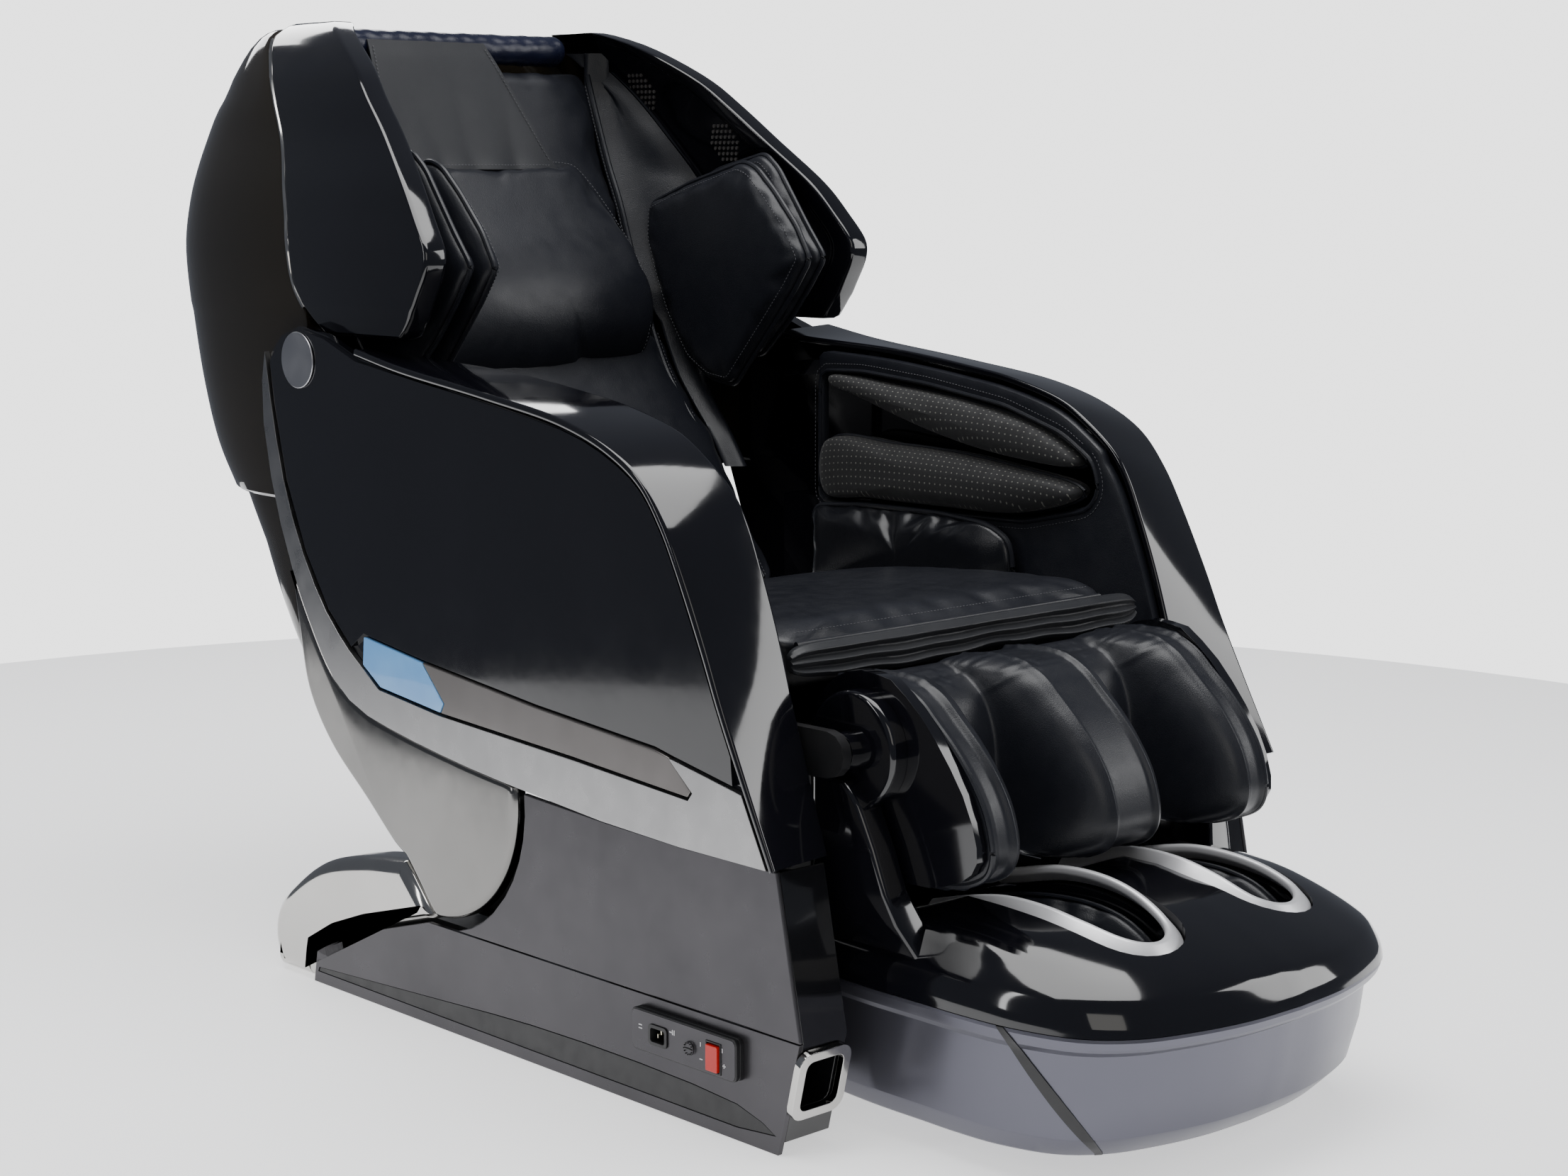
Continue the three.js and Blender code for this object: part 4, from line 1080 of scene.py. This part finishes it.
def build_shoulder_pads():
    for name, leaf, middle, front, back, nodes in (
            ("inner", INNER_LEAF, 270, 18, -13, ["shoulder_pad"]), ("outer", OUTER_LEAF, 303, 15, -13, ())):
        outline = round_corners(leaf, 12, 5)
        pad_pair(f"shoulder_{name}", cushion_data(outline, side_place(middle), front, back, 0.3, 12, 4, 96),
                 "backrest", "leather", M["leather"], nodes, 0.6, 5, 3, -0.012)
        rim = [at(middle, y, z) for y, z in outline]
        piping(f"shoulder_{name}_piping", rim, 0.0036, "backrest", closed=True)
        line = inset(outline, 10)
        seam = [at(middle - front * 0.86, y, z) for y, z in [*line, line[0]]]
        stitching(f"shoulder_{name}_stitches", seam, "backrest")
    base = round_corners([(262 + (y - 262) * 0.45, 940 + (z - 962) * 0.45) for y, z in OUTER_LEAF], 16, 4)
    mounts = both_sides("shoulder_mount", slab_data(base, 312, 341, 3), "backrest", "leather",
                        M["soft_leather"])


PAD_Y = profile([(p[1], p[0]) for p in BACK.curve[::12]])


def build_hood_lining():
    """Leather between the edge of the back pad, the shell and the inside of the wing."""
    rings = []
    for z in np.linspace(640, 1228, 60):
        t = min(max((z - 835) / 60, 0), 1)
        t = t * t * (3 - 2 * t)
        half, pad, rear = width_at(z), PAD_Y(z), WING_REAR(max(z, 880))
        points = [
            (264 - 30 * t, pad + 6), (288 - 26 * t, pad - 10 - 6 * t),
            (306 + t * (min(300, half - 56) - 306), (pad + 361) / 2 * (1 - t) + (rear - 11) * t),
            (312 + t * (half - 35.5 - 312), 371 * (1 - t) + (rear - 34) * t),
        ]
        front = spline(points, 26)
        rings.append([*[at(x, y, z) for x, y in front], *[at(x, y + 3.5, z) for x, y in front[::-1]]])
    for obj in both_sides("hood_lining", loft_data(rings), "backrest", "leather", M["leather"], sharp=60):
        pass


def build_arm_pads():
    upper = spline([(132, 776), (-10, 767), (-150, 751), (-270, 724), (-326, 696), (-334, 686), (-318, 681),
                    (-250, 684), (-165, 694), (-57, 716), (90, 757), (132, 768)], 120, True)
    lower = spline([(132, 684), (0, 688), (-121, 684), (-230, 672), (-325, 657), (-336, 648), (-320, 637),
                    (-235, 615), (-100, 611), (40, 611), (132, 613)], 120, True)
    for name, outline, middle, face in (("upper", upper, 334, 299), ("lower", lower, 328, 291)):
        cushion = cushion_data(outline, side_place(middle), middle - face, middle - 375, 0.3, 9, 5, 120)
        pad_pair(f"forearm_{name}", cushion, "carriage", "pad_fabric", M["fabric"], [f"arm_pad_{name}"],
                 0.5, 2.5, 2, 0.0)
        rim = [at(middle, y, z) for y, z in outline]
        piping(f"forearm_{name}_piping", rim, 0.0028, "carriage", 6, True)
    hip = round_corners([(140, 594), (44, 603), (-100, 604), (-190, 597), (-226, 580), (-234, 548),
                         (-228, 472), (140, 472)], 18, 5)
    pad_pair("hip_cover", cushion_data(hip, side_place(305), 18, -12, 0.42, 11, 4, 110), "carriage",
             "leather", M["shiny_leather"], ["hip_pad"], 0.6, 9, 4.5, -0.045)
    piping("hip_piping", [at(303, y, z) for y, z in hip], 0.0038, "carriage", closed=True)
    build_arm_liners()


def polar(outline, center, count):
    """The outline met by count even rays from the centre."""
    dense = resample([*outline, outline[0]], 900, True) - np.array(center)
    angle = np.arctan2(dense[:, 1], dense[:, 0])
    order = np.argsort(angle)
    reach = np.hypot(dense[:, 0], dense[:, 1])[order]
    wanted = np.linspace(-math.pi, math.pi, count, endpoint=False)
    length = np.interp(wanted, angle[order], reach, period=2 * math.pi)
    return np.stack([np.cos(wanted) * length, np.sin(wanted) * length], axis=1) + np.array(center)


def build_arm_liners():
    """Leather walls inside the arms, each round the recess of its forearm channel."""
    top = [p + np.array([0, -15.5]) for p in spline(BAND_INNER, 60) if p[0] < 150]
    front = [(y + 10, z) for y, z in top if z < 700]
    top = [p for p in top if p[1] >= 700]
    outer = [(150, 805), *[tuple(p) for p in top], *front[:-3], (-512, 332), (-430, 332), (-300, 421),
             (150, 441)]
    hole = [(140, 778), (60, 780), (-60, 770), (-200, 750), (-299, 720), (-350, 689), (-360, 655),
            (-343, 632), (-238, 608), (140, 604)]
    center, count = (-110, 692), 220
    far, near = polar(outer, center, count), polar(round_corners(hole, 14, 4), center, count)
    edges = ((far, 0, 330.2), (far, 0, 323), (far, 2, 319.4), (far, 6, 318.2),
             (near, -6, 318.2), (near, -2, 319.4), (near, 0, 323), (near, 0, 330.2))
    rings = [[at(x, y, z) for y, z in inset(outline, depth)] for outline, depth, x in edges]
    pair = both_sides("liner_wall", wrap_data(rings), "carriage", "leather", M["leather"],
                      replaces=["arm_liner"])
    piping("liner_piping", [at(318.5, y, z) for y, z in inset(near, -5)], 0.003, "carriage", closed=True)
    stitching("liner_stitches", [at(317.8, y, z) for y, z in inset(near, -14)], "carriage")


def build_head_roll_and_flap():
    rings = []
    for x in np.linspace(-204, 204, 120):
        end = min(1.0, (204.5 - abs(x)) / 16)
        radius = 21.5 * math.sqrt(max(1 - (1 - end) ** 2, 0.02))
        ring = []
        for a in circle(36):
            crease = (0.5 * math.sin(x * 0.09 + 3 * a) * math.sin(x * 0.031 + a)
                      + 0.35 * math.sin(x * 0.23 - 2 * a))
            ring.append(at(x, 573 + (radius + crease) * math.cos(a), 1229 + (radius + crease) * math.sin(a)))
        rings.append(ring)
    roll = make("header_roll", *loft_data(rings), "backrest", "header_leather", M["navy_leather"], 0,
                replaces=["header_bar"])
    line = spline([(552, 1236), (547, 1226), (540, 1212), (526, 1178), (505, 1122), (488, 1078),
                   (479, 1060)], 40)
    rows = []
    for i, (y, z) in enumerate(line):
        t = i / (len(line) - 1)
        left, right = -151 - 19 * t, 47 + 73 * t
        row = []
        for x in np.linspace(left, right, 50):
            wave = 3.0 * t * t * math.sin(x * 0.05 + 0.8) + 1.4 * t * math.sin(x * 0.021 + 2 * t)
            row.append((x, y - 0.9 * abs(wave) - 1, z))
        rows.append(row)
    rings = []
    for row in rows:
        front = [at(*p) for p in row]
        rear = [at(x, y + 2.4, z - 1.0) for x, y, z in row[::-1]]
        rings.append([*front, *rear])
    flap = make("pillow_flap", *loft_data(rings), "backrest", "leather", M["soft_leather"], 50,
                replaces=["head_flap"])
    for name, inset_x in (("left", 6), ("right", -6)):
        edge = [row[0] if inset_x > 0 else row[-1] for row in rows]
        seam = [at(x + inset_x, y - 1.6, z) for x, y, z in edge[2:-2]]
        single_stitching(f"flap_stitches_{name}", seam, "backrest")
    seam = [at(x, y - 1.6, z + 6) for x, y, z in rows[-1][2:-2]]
    single_stitching("flap_stitches_bottom", seam, "backrest")


CALF = Track([(-458, 497), (-509, 502), (-551, 500), (-584, 487), (-609, 466), (-637, 441), (-661, 414),
              (-681, 383), (-691, 353), (-693, 333), (-686, 314), (-662, 300), (-622, 292)])
TROUGH = spline([(-458, 484), (-500, 486), (-530, 468), (-549, 430), (-556, 385), (-558, 340), (-562, 306),
                 (-600, 292)], 200)
CALF_SEAMS = (203.5, 36.5)  # the outer and inner seams of each trough, from the middle


def calf_depth(x):
    """How far the surface sinks from the front of the calf rest (0) to the floor of a trough (1)."""
    x = abs(x)
    if x < 37 or x > 203:
        return 0.0
    if 78 < x < 162:
        return 1.0
    t = (x - 37) / 41 if x < 100 else (203 - x) / 41
    return 1 - math.sqrt(max(1 - t ** 2.2, 0)) ** 1.15


def build_calf_rest():
    rows = 64
    across = sorted({*np.linspace(-242, 242, 111).tolist(), *CALF_SEAMS, *[-x for x in CALF_SEAMS]})
    rings, pins = [], []
    for r in range(rows):
        s = CALF.length * r / (rows - 1)
        ring = []
        for x in across:
            edge = 7 * (1 - math.sqrt(max(1 - (max(abs(x) - 231, 0) / 11.2) ** 2, 0)))
            band = 2.5 if 207 < abs(x) < 232 or abs(x) < 32 else 0.0
            groove = sum(2.5 * math.exp(-((abs(x) - seam) / 3) ** 2) for seam in CALF_SEAMS)
            front = CALF.place(x, s, band - edge - groove - 3)
            floor = at(x, *[np.interp(r / (rows - 1), np.linspace(0, 1, 200), TROUGH[:, c])
                            for c in (0, 1)])
            depth = calf_depth(x)
            fade = min(1.0, 0.25 + r / (rows * 0.16))
            ring.append(front.lerp(floor, depth * fade))
        z = float(np.interp(s, CALF.walked, CALF.curve[:, 1]))
        rear = [at(x, -461.5, min(max(z - 10, 290), 484)) for x in across[::-1]]
        start = len(rings) * len(across) * 2
        for i, x in enumerate(across):
            on_seam = any(abs(abs(x) - seam) < 2.5 for seam in CALF_SEAMS)
            if r in (0, rows - 1) or abs(x) > 234 or on_seam or 84 < abs(x) < 156:
                pins.append(start + i)
        pins.extend(range(start + len(across), start + 2 * len(across)))
        rings.append([*ring, *rear])
    single_pad("calf_pad", (pad_mesh(rings), pins), "legrest", "leather", M["leather"], ["calf_cushion"],
               0.6, 8, 5.0, -0.05)
    for x, radius in ((238.5, 0.0038), (203.5, 0.0036), (36.5, 0.0034)):
        lift = -1.5 if x > 230 else -1.2
        line = [CALF.place(x, s, lift) for s in np.linspace(6, CALF.length - 14, 110)]
        piping(f"calf_piping_{int(x)}", line, radius, "legrest")
    for x in (230, 211, 29):
        line = [CALF.place(x, s, 0.6) for s in np.linspace(10, CALF.length - 20, 110)]
        stitching(f"calf_stitches_{x}", line, "legrest", 0.0055, 0.0036, 0.0006)


def build_foot_pads():
    sole = np.array([(68, -524), *arc((115, -772), 46, 180, 360, 16), (162, -524)])
    place = lambda x, y, w: at(x, y, 92 + w)
    pad_pair("sole_pad", cushion_data(sole, place, 13, -12, 0.4, 9, 4, 80), "footrest", "leather",
             M["soft_leather"], ["foot_pad"], 0.5, 5, 4, -0.03)
    side = spline([(-526, 118), (-526, 222), (-560, 236), (-640, 250), (-707, 250), (-752, 238), (-786, 212),
                   (-796, 160), (-780, 116), (-650, 110)], 70, True)
    for name, middle, sign in (("outer", 161, 1), ("inner", 69, -1)):
        place = lambda y, z, w: at(middle - sign * w, y, z)
        pad_pair(f"foot_lobe_{name}", cushion_data(side, place, 17, -1.2, 0.55, 9, 3, 70), "footrest",
                 "leather", M["leather"], (), 0.6, 5, 4.5, -0.04)
        rim = [at(middle - sign * 1.5, y, z) for y, z in side if z > 190]
        rim.sort(key=lambda p: -p.y)
        piping(f"foot_lobe_{name}_piping", rim, 0.003, "footrest")


build_seat()
build_back()
build_shoulder_pads()
build_hood_lining()
build_arm_pads()
build_head_roll_and_flap()
build_calf_rest()
build_foot_pads()
settle_puffed()


# ---------- small details ----------
def block(x0, x1, y0, y1, z0, z1, round_by=0.4):
    """A small box with soft edges, given in millimetres on the right-hand side of the chair."""
    outline = round_corners([(y0, z0), (y1, z0), (y1, z1), (y0, z1)], min(round_by * 2, (y1 - y0) / 3), 2)
    return mirrored(slab_data(outline, x0, x1, round_by, 2))


PANEL_FACE = 412
FUSE = (-402, 93)


def build_power_details():
    contacts = [block(395.5, 408, y - 1.1, y + 1.1, z - 2.6, z + 2.6)
                for y, z in ((-354, 92), (-342, 92), (-348, 97))]
    make("inlet_contacts", *join_data(*contacts), "base", "inlet_black", M["contact"])
    ridges = []
    for i in range(12):
        a = 2 * math.pi * i / 12
        y, z = FUSE[0] + 6.6 * math.cos(a), FUSE[1] + 6.6 * math.sin(a)
        ridges.append(block(414, 416.6, y - 0.7, y + 0.7, z - 0.7, z + 0.7, 0.3))
    ridges.append(block(414.5, 416.2, -407, -397, 92.2, 93.8, 0.3))
    make("fuse_grip", *join_data(*ridges), "base", "inlet_black", M["matte_black"])
    marks = [block(PANEL_FACE - 0.4, PANEL_FACE + 0.3, y, y + w, z, z + h, 0.15) for y, z, w, h in (
        (-376, 101, 1.4, 6), (-373, 101, 1.4, 6), (-371, 103, 4, 1.4), (-420, 99, 1.2, 5), (-423, 84, 5, 1.2),
        (-456, 100, 1.2, 5), (-459, 83, 1.2, 5), (-461, 85, 5, 1.2), (-320, 100, 6, 1.2), (-320, 96, 6, 1.2))]
    make("panel_marks", *join_data(*marks), "base", "base_grey", M["white_print"])
    edge = round_corners([(-475.5, 71.5), (-302.5, 71.5), (-302.5, 117.5), (-475.5, 117.5)], 6, 5)
    rings = [[at(-x, y, z) for y, z in inset(edge, depth)] for x, depth in (
        (400.4, -1.6), (404.6, -1.6), (405.2, -0.5), (406.2, -0.5), (406.8, -1.6), (410.4, -1.6),
        (411.3, -0.7), (411.3, 0.5), (400.4, 0.5))]
    make("panel_rim", *wrap_data(rings), "base", "inlet_black", M["matte_black"])
    switch = [block(PANEL_FACE - 2, PANEL_FACE + 1.2, *sides) for sides in (
        (-452, -430, 73.5, 75.5), (-452, -430, 107.5, 109.5),
        (-453.5, -451.7, 73.5, 109.5), (-430.3, -428.5, 73.5, 109.5))]
    make("switch_frame", *join_data(*switch), "base", "inlet_black", M["matte_black"])


build_power_details()
